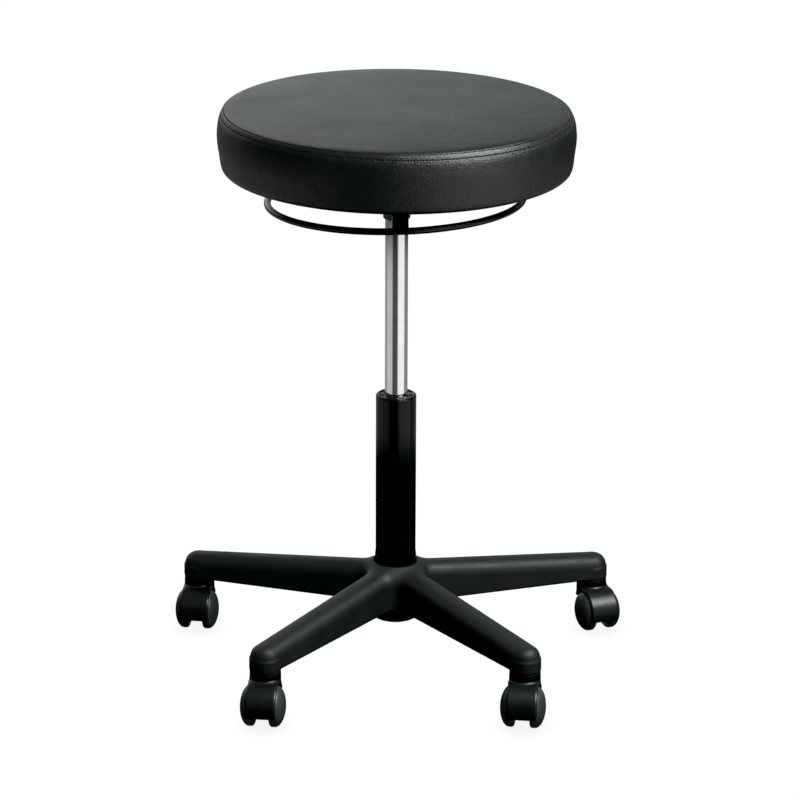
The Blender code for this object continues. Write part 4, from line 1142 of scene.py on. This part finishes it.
def build_clip():
    """A stamped retaining ring with a mouth and softened edges."""
    low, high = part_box("retaining_clip")
    outer, inner = 0.0105, 0.0039
    bm = bmesh.new()
    arc = [math.radians(-60 + 300 * i / 48) for i in range(49)]
    outline = [(outer * math.cos(a), outer * math.sin(a)) for a in arc]
    outline += [(inner * math.cos(a), inner * math.sin(a)) for a in reversed(arc)]
    face = bm.faces.new([bm.verts.new((COLUMN_X + x, COLUMN_Y + y, low.z)) for x, y in outline])
    raised = bmesh.ops.extrude_face_region(bm, geom=[face])["geom"]
    raised = [v for v in raised if isinstance(v, bmesh.types.BMVert)]
    bmesh.ops.translate(bm, verts=raised, vec=(0, 0, high.z - low.z))
    face_outward(bm)
    sharp = [e for e in bm.edges if len(e.link_faces) == 2 and e.calc_face_angle(0) > 0.7]
    bmesh.ops.bevel(bm, geom=sharp, offset=0.0002, segments=2, affect="EDGES")
    mesh = mesh_from(bm, "retaining_clip_mesh", 38.0)
    piece("rod_clip", mesh, STEEL, "rod", "retaining_clip")


# ---------------------------------------------------------------- release ring
RING_RADIUS, WIRE, RING_Z, RING_X = 0.1544, 0.0042, 0.5877, -0.0018
LEAN = (
    Matrix.Translation(COLUMN_AT)
    @ Matrix.Translation((RING_X, 0.0, RING_Z))
    @ Matrix.Rotation(math.radians(-1.45), 4, "X")
    @ Matrix.Rotation(math.radians(-1.55), 4, "Y")
)
WIRE_HALF_GAP = 0.00035  # half the gap between the wire's cut ends, at the front
STRAP_RISE, STRAP_HALF, STRAP_WIDTH, STRAP_ROUND = 0.0248, 0.0015, 0.0198, 0.0009
STRAP_X = 0.0042 - RING_X
STRAP_BEND = 0.0070
STRAP_FOOT, STRAP_SHOULDER = 0.0880, 0.0700  # y where each step starts and ends
BEADS = 9


def build_wire():
    steps, sides = ((288, 28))
    gap = WIRE_HALF_GAP / RING_RADIUS
    front = -math.pi / 2
    lead = 0.012  # angle at each end that has its own closer stations
    angles = [front + gap + extra for extra in (0.0, 0.0022, 0.0050)]
    angles += [front + lead + (2 * math.pi - 2 * lead) * i / steps for i in range(steps + 1)]
    angles += [front + 2 * math.pi - gap - extra for extra in (0.0050, 0.0022, 0.0)]
    bm = bmesh.new()
    up = Vector((0, 0, 1))
    centres, rings = [], []
    for angle in angles:
        out = Vector((math.cos(angle), math.sin(angle), 0.0))
        x, y = RING_RADIUS * math.cos(angle), RING_RADIUS * math.sin(angle)
        centre = Vector((x, y, 0.0))
        turns = [2 * math.pi * k / sides for k in range(sides)]
        centres.append(centre)
        rings.append([
            bm.verts.new(centre + WIRE * (math.cos(turn) * out + math.sin(turn) * up))
            for turn in turns
        ])
    bridge(bm, rings)
    for end in (0, -1):  # the cut ends have a small chamfer
        for v in rings[end]:
            v.co = centres[end] + (v.co - centres[end]) * 0.88
    face_outward(bm)
    mesh = mesh_from(bm, "release_ring_mesh", 50.0, LEAN)
    piece("release_ring_wire", mesh, RING_PAINT, "release_ring", "ring_handle")


def strap_path():
    """The strap's middle line as (y, z): flat feet, two bent steps, a raised middle."""
    end = math.sqrt((RING_RADIUS - WIRE * 0.55) ** 2 - STRAP_X**2)
    path = rounded(
        [
            (-end, 0.0), (-STRAP_FOOT, 0.0, STRAP_BEND),
            (-STRAP_SHOULDER, STRAP_RISE, STRAP_BEND), (STRAP_SHOULDER, STRAP_RISE, STRAP_BEND),
            (STRAP_FOOT, 0.0, STRAP_BEND), (end, 0.0),
        ],
        8,
        closed=False,
    )
    dense = []
    for (y0, z0), (y1, z1) in zip(path, path[1:]):
        n = max(1, int(math.hypot(y1 - y0, z1 - z0) / 0.006))
        dense += [(y0 + (y1 - y0) * k / n, z0 + (z1 - z0) * k / n) for k in range(n)]
    return dense + [path[-1]]


def add_beads(bm):
    """Weld beads where the strap meets the wire, on both faces."""
    for end in (-1.0, 1.0):
        for face in (-1.0, 1.0):
            for k in range(BEADS):
                x = STRAP_X + STRAP_WIDTH * 0.46 * (2.0 * k / (BEADS - 1) - 1.0)
                y = end * (math.sqrt(RING_RADIUS**2 - x * x) - WIRE * 0.92)
                bmesh.ops.create_uvsphere(
                    bm, u_segments=12, v_segments=8,
                    radius=0.0016 * (1.0 + 0.10 * math.sin(2.3 * k + end)),
                    matrix=Matrix.Translation((x, y, face * 0.0014))
                    @ Matrix.Diagonal((1.35, 1.1, 0.75, 1.0)),
                )


def build_strap():
    """A strap with two bent steps; its ends are welded to the wire."""
    section = []
    for side, face, start in ((1, 1, 0), (-1, 1, 90), (-1, -1, 180), (1, -1, 270)):
        for k in range(5):
            angle = math.radians(start + 22.5 * k)
            section.append((
                side * (STRAP_WIDTH / 2 - STRAP_ROUND) + STRAP_ROUND * math.cos(angle),
                face * (STRAP_HALF - STRAP_ROUND) + STRAP_ROUND * math.sin(angle),
            ))
    bm = bmesh.new()
    path, rings = strap_path(), []
    for i, (y, z) in enumerate(path):
        y0, z0 = path[max(0, i - 1)]
        y1, z1 = path[min(len(path) - 1, i + 1)]
        along = Vector((0.0, y1 - y0, z1 - z0)).normalized()
        up = Vector((0.0, -along.z, along.y))
        rings.append([
            bm.verts.new(Vector((STRAP_X + across, y, z)) + up * rise) for across, rise in section
        ])
    bridge(bm, rings)
    add_beads(bm)
    face_outward(bm)
    mesh = mesh_from(bm, "release_strap_mesh", 40.0, LEAN)
    piece("release_strap", mesh, RING_PAINT, "release_ring", "handle_crossbar")


# ---------------------------------------------------------------- mechanism
SOCKET_CLEARANCE = 0.0003
SOCKET_FLANGE = 0.0215
BOLT_HEAD_RADIUS, BOLT_RADIUS, THREAD_ROOT = 0.0058, 0.0030, 0.0026
THREAD_PITCH = 0.0010


def build_taper_socket():
    low, high = SOCKET_BOTTOM_Z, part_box("taper_socket")[1].z
    column_piece(
        "taper_socket_turned", "taper_socket", "seat", MECHANISM_PAINT,
        segments=128, steps=6,
        outline=[
            (taper(low) + SOCKET_CLEARANCE, low, 0.0004), (0.0166, low, 0.0022),
            (0.0168, 0.5950, 0.0030), (SOCKET_FLANGE, 0.5990, 0.0008),
            (SOCKET_FLANGE, high, 0.0003), (taper(high) + SOCKET_CLEARANCE, high, 0.0002),
        ],
    )


def build_bolt(number):
    """Pan head with a round recess, on a threaded shank."""
    node = f"seat_bolt_{number}"
    head, end = (corner.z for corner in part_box(node))
    plate_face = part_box("mounting_plate")[1].z - 0.0025
    outline = [
        (0.0, head + 0.0020), (0.0026, head + 0.0020), (0.0028, head, 0.0002),
        (0.0046, head, 0.0008), (BOLT_HEAD_RADIUS, head + 0.0030, 0.0006),
        (BOLT_HEAD_RADIUS, plate_face - 0.0003, 0.0002), (BOLT_RADIUS, plate_face - 0.0003),
    ]
    profile = rounded(outline, 3, closed=False)
    z = plate_face + 0.0002
    while z < end - 0.0012:
        profile += [(BOLT_RADIUS, z), (THREAD_ROOT, z + THREAD_PITCH / 2)]
        z += THREAD_PITCH
    profile += [(THREAD_ROOT, end - 0.0005), (0.0022, end), (0.0, end)]
    place = (*middle(node), 0.0)
    mesh = turned(f"seat_bolt_mesh_{number}", profile, 48, sharp_deg=30.0, move=place)
    piece(f"bolt_turned_{number}", mesh, ZINC, "seat", node)


def build_mechanism():
    build_taper_socket()
    refinish(NODES["mounting_plate"], MECHANISM_PAINT, width=0.0005, segments=3)
    for number in range(1, 5):
        build_bolt(number)
        refinish(NODES[f"tee_nut_{number}"], ZINC, width=0.0002, segments=2)


# ---------------------------------------------------------------- seat
SEAM_Z = 0.6974
BAND_BOTTOM, BAND_RISE = 0.6300, 0.0550  # over this rise the slant grows to the seam's
CROWN_Z = 0.6990  # above this the cover faces up
COVER = 0.0012  # thickness of the vinyl
# the cover's top panel, from the middle out to the seam: (radius, z)
TOP_CURVE = [
    (0.0, 0.7050), (0.0500, 0.70495), (0.0950, 0.7046), (0.1280, 0.7040), (0.1570, 0.7030),
    (0.1780, 0.7019), (0.1880, 0.70115), (0.1950, 0.7006), (0.2005, 0.7000),
    (0.2040, 0.69935), (0.2060, 0.6986),
]
# its roll down into the seam
TOP_ROLL = [TOP_CURVE[-1], (0.2068, 0.6980), (0.2070, 0.6973), (0.2065, 0.6967), (0.2057, 0.6963)]
# the side band, from under the seam down and under the board: (radius, z)
BAND_CURVE = [
    (0.2104, 0.6921), (0.2124, 0.6882), (0.2140, 0.6830), (0.2148, 0.6770), (0.2152, 0.6700),
    (0.2151, 0.6620), (0.2144, 0.6540), (0.2134, 0.6460), (0.2125, 0.6390), (0.2117, 0.6340),
    (0.2103, 0.6300), (0.2072, 0.6273), (0.2020, 0.6261),
]
# the band's upper edge: out of the seam, over the allowance, a dip at the stitches
BAND_UPPER = [
    (0.2060, 0.6957), (0.2068, 0.6962), (0.2074, 0.6969), (0.2081, 0.6973), (0.2089, 0.6966),
    (0.2097, 0.6953), (0.2105, 0.6937), (0.2110, 0.6924), (0.21095, STITCH_Z),
    (0.2117, 0.6910), (0.2125, 0.6892), (0.2133, 0.6868), (0.2139, 0.6842), (0.2143, 0.6818),
]
# its tuck under the board, and the inner face's upper part
BAND_UNDER = [
    (0.1980, 0.62590), (0.1900, 0.62585), (0.1800, 0.62585), (0.1690, 0.62590),
    (0.1666, 0.6261),
]
BAND_INNER = [
    (0.2056, 0.6950), (0.2084, 0.6942), (0.2099, 0.6908), (0.2112, 0.6880), (0.2123, 0.6848),
]


def crooked(x, z):
    """How far the unevenly pulled cover is shifted up: the seam runs lower on the right."""
    share = (x - COLUMN_X) / SEAT_REACH
    up = np.clip((z - 0.6985) / 0.0050, 0.0, 1.0)
    height = np.clip((z - BAND_BOTTOM) / BAND_RISE, 0.0, 1.0)
    seam = height * (1.0 - up)
    return share * (0.0008 * up - SEAM_DROP * seam - 0.0008 * (1.0 - height))


def pad_form():
    """The whole pad as an object with an even voxel mesh, a little inside the cover."""
    outline = [(0.0, 0.7020)]
    outline += [(r - 0.0018, z - 0.0022) for r, z in TOP_CURVE[1:]]
    outline += [(r - 0.0016, z) for r, z in BAND_CURVE]
    outline += [(0.1700, 0.6268), (0.0, 0.6268)]
    pad = link("pad_form", turned("pad_form", outline, 96, move=COLUMN_AT))
    remesh = pad.modifiers.new("remesh", "REMESH")
    remesh.mode = "VOXEL"
    remesh.voxel_size = 0.0055
    graph = bpy.context.evaluated_depsgraph_get()
    even = bpy.data.meshes.new_from_object(pad.evaluated_get(graph))
    pad.modifiers.clear()
    pad.data = even
    return pad


def push_lumps(mesh):
    """Foam is never even: push a few gentle soft and hard places round the side."""
    lumps = np.random.default_rng(7).uniform(-1.0, 1.0, (26, 5))
    for v in mesh.vertices:
        angle, z = math.atan2(v.co.y - COLUMN_Y, v.co.x - COLUMN_X), v.co.z
        push = 0.0
        for place, height, amount, wide, tall in lumps:
            off = (angle - math.pi * place + math.pi) % (2 * math.pi) - math.pi
            across = off / (0.16 + 0.10 * abs(wide))
            rise = (z - 0.665 - 0.022 * height) / (0.010 + 0.008 * abs(tall))
            push += amount * math.exp(-(across**2) - rise**2)
        v.co += Vector((math.cos(angle), math.sin(angle), 0.0)) * 0.0011 * push


def simulate_pad():
    """Cloth run on the pad: vinyl blown up over the foam, held at the seam and the board.

    Returns the points at rest and how far each one moved.
    """
    pad = pad_form()
    rest = get_points(pad.data)
    push_lumps(pad.data)
    held = pad.vertex_groups.new(name="held")
    for v in pad.data.vertices:
        r = math.hypot(v.co.x - COLUMN_X, v.co.y - COLUMN_Y)
        if v.co.z < BAND_BOTTOM:
            held.add([v.index], 1.0, "REPLACE")
        elif abs(v.co.z - SEAM_Z) < 0.0035 and r > 0.1960:
            held.add([v.index], 0.8, "REPLACE")
    cloth = pad.modifiers.new("cloth", "CLOTH")
    settings = cloth.settings
    settings.quality = 8
    settings.mass = 0.35
    settings.tension_stiffness = settings.compression_stiffness = 22.0
    settings.shear_stiffness = 8.0
    settings.bending_stiffness = 1.2
    settings.use_pressure = True
    settings.uniform_pressure_force = 4.0
    settings.effector_weights.gravity = 0.0
    settings.vertex_group_mass = "held"
    settings.pin_stiffness = 1.0
    scene = bpy.context.scene
    scene.frame_start, scene.frame_end = 1, 20
    cloth.point_cache.frame_start, cloth.point_cache.frame_end = 1, 20
    for frame_number in range(1, 21):
        scene.frame_set(frame_number)
    graph = bpy.context.evaluated_depsgraph_get()
    move = get_points(pad.evaluated_get(graph).data) - rest
    scene.frame_set(1)
    bpy.data.objects.remove(pad, do_unlink=True)
    length = np.linalg.norm(move, axis=1)
    move *= np.minimum(1.0, 0.008 / np.maximum(length, 1e-9))[:, None]
    return rest, move


def add_unevenness(points, moved):
    """Each ring keeps its mean place and takes the cloth run's unevenness."""
    rest, move = moved
    tree = KDTree(len(rest))
    for i, point in enumerate(rest):
        tree.insert(point, i)
    tree.balance()
    dx, dy = points[:, 0] - COLUMN_X, points[:, 1] - COLUMN_Y
    radius = np.hypot(dx, dy)
    out = np.stack([dx, dy, np.zeros(len(points))], 1) / np.maximum(radius, 1e-6)[:, None]
    flat = np.clip((points[:, 2] - CROWN_Z) / 0.004, 0.0, 1.0)
    normal = out * (1.0 - flat)[:, None] + np.array([0, 0, 1.0]) * flat[:, None]
    away = np.zeros(len(points))
    for i, point in enumerate(points):
        found = tree.find_n(point, 10)
        weight = np.array([1.0 / (0.003 + distance) ** 2 for _, _, distance in found])
        near = move[[index for _, index, _ in found]]
        away[i] = float((near * weight[:, None]).sum(0) / weight.sum() @ normal[i])
    # points of one ring share their height and radius
    height_key = np.round(points[:, 2] * 1e6).astype(np.int64)
    key = height_key * 1000003 + np.round(radius * 1e6).astype(np.int64)
    _, group = np.unique(key, return_inverse=True)
    mean = np.bincount(group, away) / np.bincount(group)
    uneven = np.clip(away - mean[group], -0.0012, 0.0012)
    edge = np.clip((points[:, 2] - 0.6268) / 0.004, 0.0, 1.0)
    fade = np.where(radius < 0.02, radius / 0.02, 1.0)
    share = np.where(flat > 0.5, 0.5, 0.85)
    return points + normal * (uneven * edge * fade * share)[:, None]


def cover_shell(name, outer, inner, moved):
    """A turned shell between two curves, uneven as the cloth run and crooked."""
    segments = 288
    profile = list(outer) + list(reversed(inner))
    mesh = turned(name, profile, segments, sharp_deg=None, move=COLUMN_AT)
    points = get_points(mesh)
    if moved is not None:
        points = add_unevenness(points, moved)
    points[:, 2] += crooked(points[:, 0], points[:, 2])
    set_points(mesh, points)
    return mesh


def build_top_panel(moved):
    """Flat crown, then a tight roll down into the seam."""
    outer = spline(TOP_CURVE, 5) + spline(TOP_ROLL, 4)[1:]
    inner = offset_curve(spline(TOP_CURVE, 2), COVER) + [(0.2050, 0.6963)]
    mesh = cover_shell("seat_top_panel", outer, inner, moved)
    piece("seat_top_panel", mesh, VINYL, "seat", "seat_cover_top")


def build_side_band(moved):
    lower = [BAND_UPPER[-1]] + [p for p in BAND_CURVE if p[1] < 0.6800]
    outer = spline(BAND_UPPER, 4) + spline(lower, 5)[1:] + BAND_UNDER
    inner = BAND_INNER + offset_curve([p for p in BAND_CURVE if p[1] < 0.6820], COVER)
    inner += [(0.1900, 0.6271), (0.1665, 0.6271)]
    mesh = cover_shell("seat_side_band", outer, inner, moved)
    # gathers where the cover is pulled under the board
    points = get_points(mesh)
    dx, dy = points[:, 0] - COLUMN_X, points[:, 1] - COLUMN_Y
    radius, angle = np.hypot(dx, dy), np.arctan2(dy, dx)
    share = np.clip((0.2050 - radius) / 0.0200, 0.0, 1.0) * (points[:, 2] < 0.6266)
    fold = np.sin(58 * angle + 1.6 * np.sin(5 * angle))
    fold = fold * (0.6 + 0.4 * np.sin(11 * angle + 1.0))
    points[:, 2] -= share * (0.00045 * np.maximum(fold, 0.0) ** 1.5 + 0.00010 * fold)
    set_points(mesh, points)
    piece("seat_side_band", mesh, VINYL, "seat", "seat_cover_band")


def build_topstitch():
    """One row of short threads under the seam that dive into the vinyl at both ends."""
    radius, dive, thread, steps, sides = 0.21128, 0.00070, 0.00030, 6, 6
    up = Vector((0, 0, 1))
    bm = bmesh.new()
    for i in range(STITCH_COUNT):
        rings = []
        for k in range(steps + 1):
            along = 2.0 * k / steps - 1.0
            angle = 2 * math.pi * i / STITCH_COUNT + along * 0.37 * 2 * math.pi / STITCH_COUNT
            r = radius - dive * along**4
            x = COLUMN_X + r * math.cos(angle)
            z = STITCH_Z + 0.00006 * along
            z += float(crooked(x, z))
            centre = Vector((x, COLUMN_Y + r * math.sin(angle), z))
            out = Vector((math.cos(angle), math.sin(angle), 0.72)).normalized()
            thick = thread * math.sqrt(max(0.04, 1.0 - 0.72 * along * along))
            turns = [2 * math.pi * q / sides for q in range(sides)]
            rings.append([
                bm.verts.new(centre + thick * (math.cos(turn) * out + math.sin(turn) * up))
                for turn in turns
            ])
        bridge(bm, rings)
    face_outward(bm)
    mesh = mesh_from(bm, "seat_topstitch_mesh")
    piece("seat_topstitch", mesh, THREAD, "seat", None)


def build_foam():
    """A crowned pad just inside the cover."""
    roof = offset_curve(spline(TOP_CURVE, 3), 0.0016)[:-1]
    wall = [
        (r, z) for r, z in offset_curve(BAND_CURVE, 0.0019) if BOARD_TOP_Z + 0.003 < z < 0.6860
    ]
    full = roof + [(0.2024, 0.6968), (0.2032, 0.6950), (0.2078, 0.6880)] + wall
    full += [(0.2080, BOARD_TOP_Z + 0.0006), (0.0, BOARD_TOP_Z + 0.0003)]
    # the corner under the seam is cut back, clear of the turned-in edges
    outline = []
    for r, z in full:
        share = max(0.0, min(1.0, (r - 0.1880) / 0.0120)) if z > 0.6900 else 0.0
        outline.append((r - 0.0022 * share, z - 0.0026 * share))
    mesh = turned("seat_foam_pad_mesh", outline, 144, sharp_deg=50.0, move=COLUMN_AT)
    points = get_points(mesh)
    points[:, 2] += crooked(points[:, 0], points[:, 2]) * (points[:, 2] > 0.6700)
    set_points(mesh, points)
    piece("seat_foam_pad", mesh, FOAM, "seat", "seat_foam")


def build_dust_cover():
    """Thin cloth under the board, sagging and rippled towards its edge."""
    rings, segments, radius, level = 26, 144, 0.1660, 0.6266
    bm = bmesh.new()
    sheet = []
    for i in range(rings + 1):
        row = []
        r = radius * i / rings
        outside = max(0.0, r - 0.1080) / 0.0560
        sag = 0.0009 * math.sin(math.pi * min(1.0, max(0.0, (r - 0.1070) / 0.0570)))
        for k in range(segments if i else 1):
            angle = 2 * math.pi * k / segments
            x, y = COLUMN_X + r * math.cos(angle), COLUMN_Y + r * math.sin(angle)
            ripple = math.sin(24 * angle) * outside**3 * 0.00035
            ripple += 0.0002 * math.sin(7 * angle + 30 * r) * outside * (1 - outside)
            row.append(bm.verts.new((x, y, level - sag + ripple)))
        sheet.append(row)
    for k in range(segments):
        bm.faces.new((sheet[0][0], sheet[1][k], sheet[1][(k + 1) % segments]))
    for inner, outer in zip(sheet[1:], sheet[2:]):
        for k in range(segments):
            m = (k + 1) % segments
            bm.faces.new((inner[k], outer[k], outer[m], inner[m]))
    face_outward(bm)
    bmesh.ops.solidify(bm, geom=bm.faces[:], thickness=0.0004)
    face_outward(bm)
    mesh = mesh_from(bm, "dust_cloth_mesh")
    piece("dust_cloth", mesh, DUST_CLOTH, "seat", "dust_cover")


def build_seat():
    moved = simulate_pad()
    build_top_panel(moved)
    build_side_band(moved)
    build_topstitch()
    build_foam()
    refinish(NODES["seat_board"], PLYWOOD, width=0.0006, segments=2)
    build_dust_cover()


# ---------------------------------------------------------------- stage
COOL = (0.94, 1.0, 0.985)
BLACK_POINT = (0.0036, 0.0025, 0.0026)  # deepens the blacks
FLOOR_HALF, FLOOR_Z = 30.0, -0.0002
FLOOR_FRONT = 0.002  # least brightness that glossy surfaces see in the floor
FLOOR_BOUNCE = 0.26  # light the floor gives to matt surfaces
# bright sectors of the floor, as azimuth in degrees from the front towards the right:
# (start, full from, full until, end, level, counted as front, share left far out)
FLOOR_PANELS = (
    (-181.0, -180.0, -112.0, -96.0, 0.34, False, 0.45),
    (-112.0, -96.0, -46.0, -34.0, 0.60, True, 0.03),
    (-46.0, -34.0, 8.0, 20.0, 0.080, True, 0.03),
    (8.0, 23.0, 80.0, 93.0, 1.10, True, 0.85),
    (80.0, 93.0, 180.0, 181.0, 0.26, False, 0.06),
)
# strengths of the wall behind, the even fill, the light from above and the low panel
WALL_BACK, WORLD_FILL, OVERHEAD, LOW_PANEL = 0.93, 0.002, 0.16, 0.40
# area lights: name, place, aim, length of a side, power in watts
LIGHTS = (
    ("soft_right", (1.04, -0.68, 1.78), (0.0, 0.0, 0.66), 1.05, 68.0),
    ("soft_left_back", (-1.9, 1.5, 1.9), (0.0, 0.0, 0.30), 1.0, 3.0),
)
CAMERA_DISTANCE, CAMERA_HEIGHT = 3.746, 1.6431
CAMERA_DOWN, CAMERA_ROLL = 19.31, 0.20  # degrees
CAMERA_SENSOR, CAMERA_LENS, CAMERA_SHIFT = 36.0, 144.963, 0.004875


def floor_glow(tree):
    """What glossy surfaces see in the floor: dark close by, bright panels further out."""
    px, position_y, _ = tree.split(tree.source("NewGeometry", "Position"))
    py = tree.minus(position_y, COLUMN_Y)
    away = tree.math("SQRT", tree.add(tree.times(px, px), tree.times(py, py)))
    azimuth = tree.math("ARCTAN2", px, tree.times(py, -1.0))
    front_near = tree.span(away, between=(0.725, 0.825))
    side_near = tree.span(away, between=(0.70, 0.81))
    far = tree.span(away, between=(1.72, 1.86), to=(1.0, 0.0))
    total = FLOOR_FRONT
    for start, full, full_end, end, level, is_front, beyond in FLOOR_PANELS:
        reach = tree.add(tree.times(far, 1.0 - beyond), beyond)
        rise = tree.span(azimuth, between=(math.radians(start), math.radians(full)))
        falling = (math.radians(full_end), math.radians(end))
        fall = tree.span(azimuth, between=falling, to=(1.0, 0.0))
        part = tree.times(tree.times(rise, fall), tree.times(reach, level))
        part = tree.times(part, front_near if is_front else side_near)
        total = tree.add(part, total)
    return away, total


def floor_material():
    tree = new_material("floor_finish")
    tree.nodes.clear()
    out = tree.nodes.new("ShaderNodeOutputMaterial")
    rays = tree.nodes.new("ShaderNodeLightPath").outputs
    # pale paper to the camera, with the soft contact shade under the casters
    contact = tree.nodes.new("ShaderNodeAmbientOcclusion")
    contact.inputs["Distance"].default_value = 0.05
    contact.samples = 16
    seen = tree.emission(
        tree.span(contact.outputs["AO"], between=(0.30, 0.90), to=(0.90, 1.02))
    )
    away, glow = floor_glow(tree)
    glossy = tree.emission(glow)
    dull = tree.emission(tree.span(away, between=(0.20, 0.30), to=(0.01, FLOOR_BOUNCE)))
    reflected = tree.mix_shader(rays["Is Glossy Ray"], dull, glossy)
    shown = tree.mix_shader(rays["Is Camera Ray"], reflected, seen)
    # from below the floor is clear, so the underside can be looked at
    clear = tree.source("BsdfTransparent", 0)
    from_below = tree.times(tree.source("NewGeometry", "Backfacing"), rays["Is Camera Ray"])
    tree.put(out.inputs["Surface"], tree.mix_shader(from_below, shown, clear))
    return tree.owner


def build_floor():
    mesh = bpy.data.meshes.new("floor")
    signs = ((-1, -1), (1, -1), (1, 1), (-1, 1))
    corners = [(x * FLOOR_HALF, y * FLOOR_HALF, FLOOR_Z) for x, y in signs]
    mesh.from_pydata(corners, [], [(0, 1, 2, 3)])
    link("floor", mesh, floor_material())


def build_world():
    world = bpy.data.worlds.new("studio")
    bpy.context.scene.world = world
    world.use_nodes = True
    tree = Tree(world)
    x, y, z = tree.split(tree.source("TexCoord", "Generated"))
    # a wall behind, brighter low down and on the left, over an even fill
    behind = tree.span(y, between=(0.50, 0.85))
    low = tree.span(z, between=(0.32, 0.74), to=(1.0, 0.0))
    lean = tree.span(x, between=(-0.08, 0.08), to=(1.36, 0.50))
    wall = tree.times(tree.times(behind, low), tree.times(lean, WALL_BACK))
    level = tree.add(wall, WORLD_FILL)
    # a low, broad panel in front on the right
    around = tree.math("ARCTAN2", x, tree.times(y, -1.0))
    wide = tree.times(
        tree.span(around, between=(math.radians(12), math.radians(26))),
        tree.span(around, between=(math.radians(72), math.radians(88)), to=(1.0, 0.0)),
    )
    tall = tree.times(
        tree.span(z, between=(-0.10, 0.02)),
        tree.span(z, between=(0.40, 0.62), to=(1.0, 0.0)),
    )
    level = tree.add(level, tree.times(tree.times(wide, tall), LOW_PANEL))
    # light from above, stronger on the left
    above = tree.times(
        tree.span(z, between=(0.36, 0.62), to=(0.0, OVERHEAD)),
        tree.span(x, between=(-0.5, 0.5), to=(1.8, 0.3)),
    )
    level = tree.add(level, above)
    # the camera itself sees plain, nearly white paper
    camera_ray = tree.source("LightPath", "Is Camera Ray")
    lit = tree.times(level, tree.minus(1.0, camera_ray))
    background = tree.nodes["Background"].inputs
    tree.put(background["Strength"], tree.add(lit, tree.times(camera_ray, 0.98)))
    tree.put(background["Color"], tree.mix(camera_ray, COOL, (1.0, 1.0, 1.0)))


def build_lights():
    for name, place, aim, side, power in LIGHTS:
        data = bpy.data.lights.new(name, "AREA")
        data.shape = "RECTANGLE"
        data.size = data.size_y = side
        data.energy = power
        data.color = COOL
        lamp = bpy.data.objects.new(name, data)
        bpy.context.scene.collection.objects.link(lamp)
        lamp.location = place
        lamp.rotation_euler = (Vector(aim) - Vector(place)).to_track_quat("-Z", "Y").to_euler()


def build_camera():
    data = bpy.data.cameras.new("camera")
    data.sensor_width = CAMERA_SENSOR
    data.lens = CAMERA_LENS
    data.shift_x = CAMERA_SHIFT
    data.clip_end = 100.0
    camera = link("camera", data)
    camera.matrix_world = (
        Matrix.Translation((0.0, COLUMN_Y - CAMERA_DISTANCE, CAMERA_HEIGHT))
        @ Matrix.Rotation(math.radians(90.0 - CAMERA_DOWN), 4, "X")
        @ Matrix.Rotation(math.radians(CAMERA_ROLL), 4, "Z")
    )
    scene = bpy.context.scene
    scene.camera = camera
    scene.view_settings.view_transform = "Standard"
    scene.view_settings.use_curve_mapping = True
    scene.view_settings.curve_mapping.black_level = BLACK_POINT


build_base()
build_casters()
build_tube()
build_guide_bush()
build_gas_cylinder()
build_piston()
build_bearing()
build_buffer()
build_clip()
build_wire()
build_strap()
build_mechanism()
build_seat()
build_floor()
build_world()
build_lights()
build_camera()
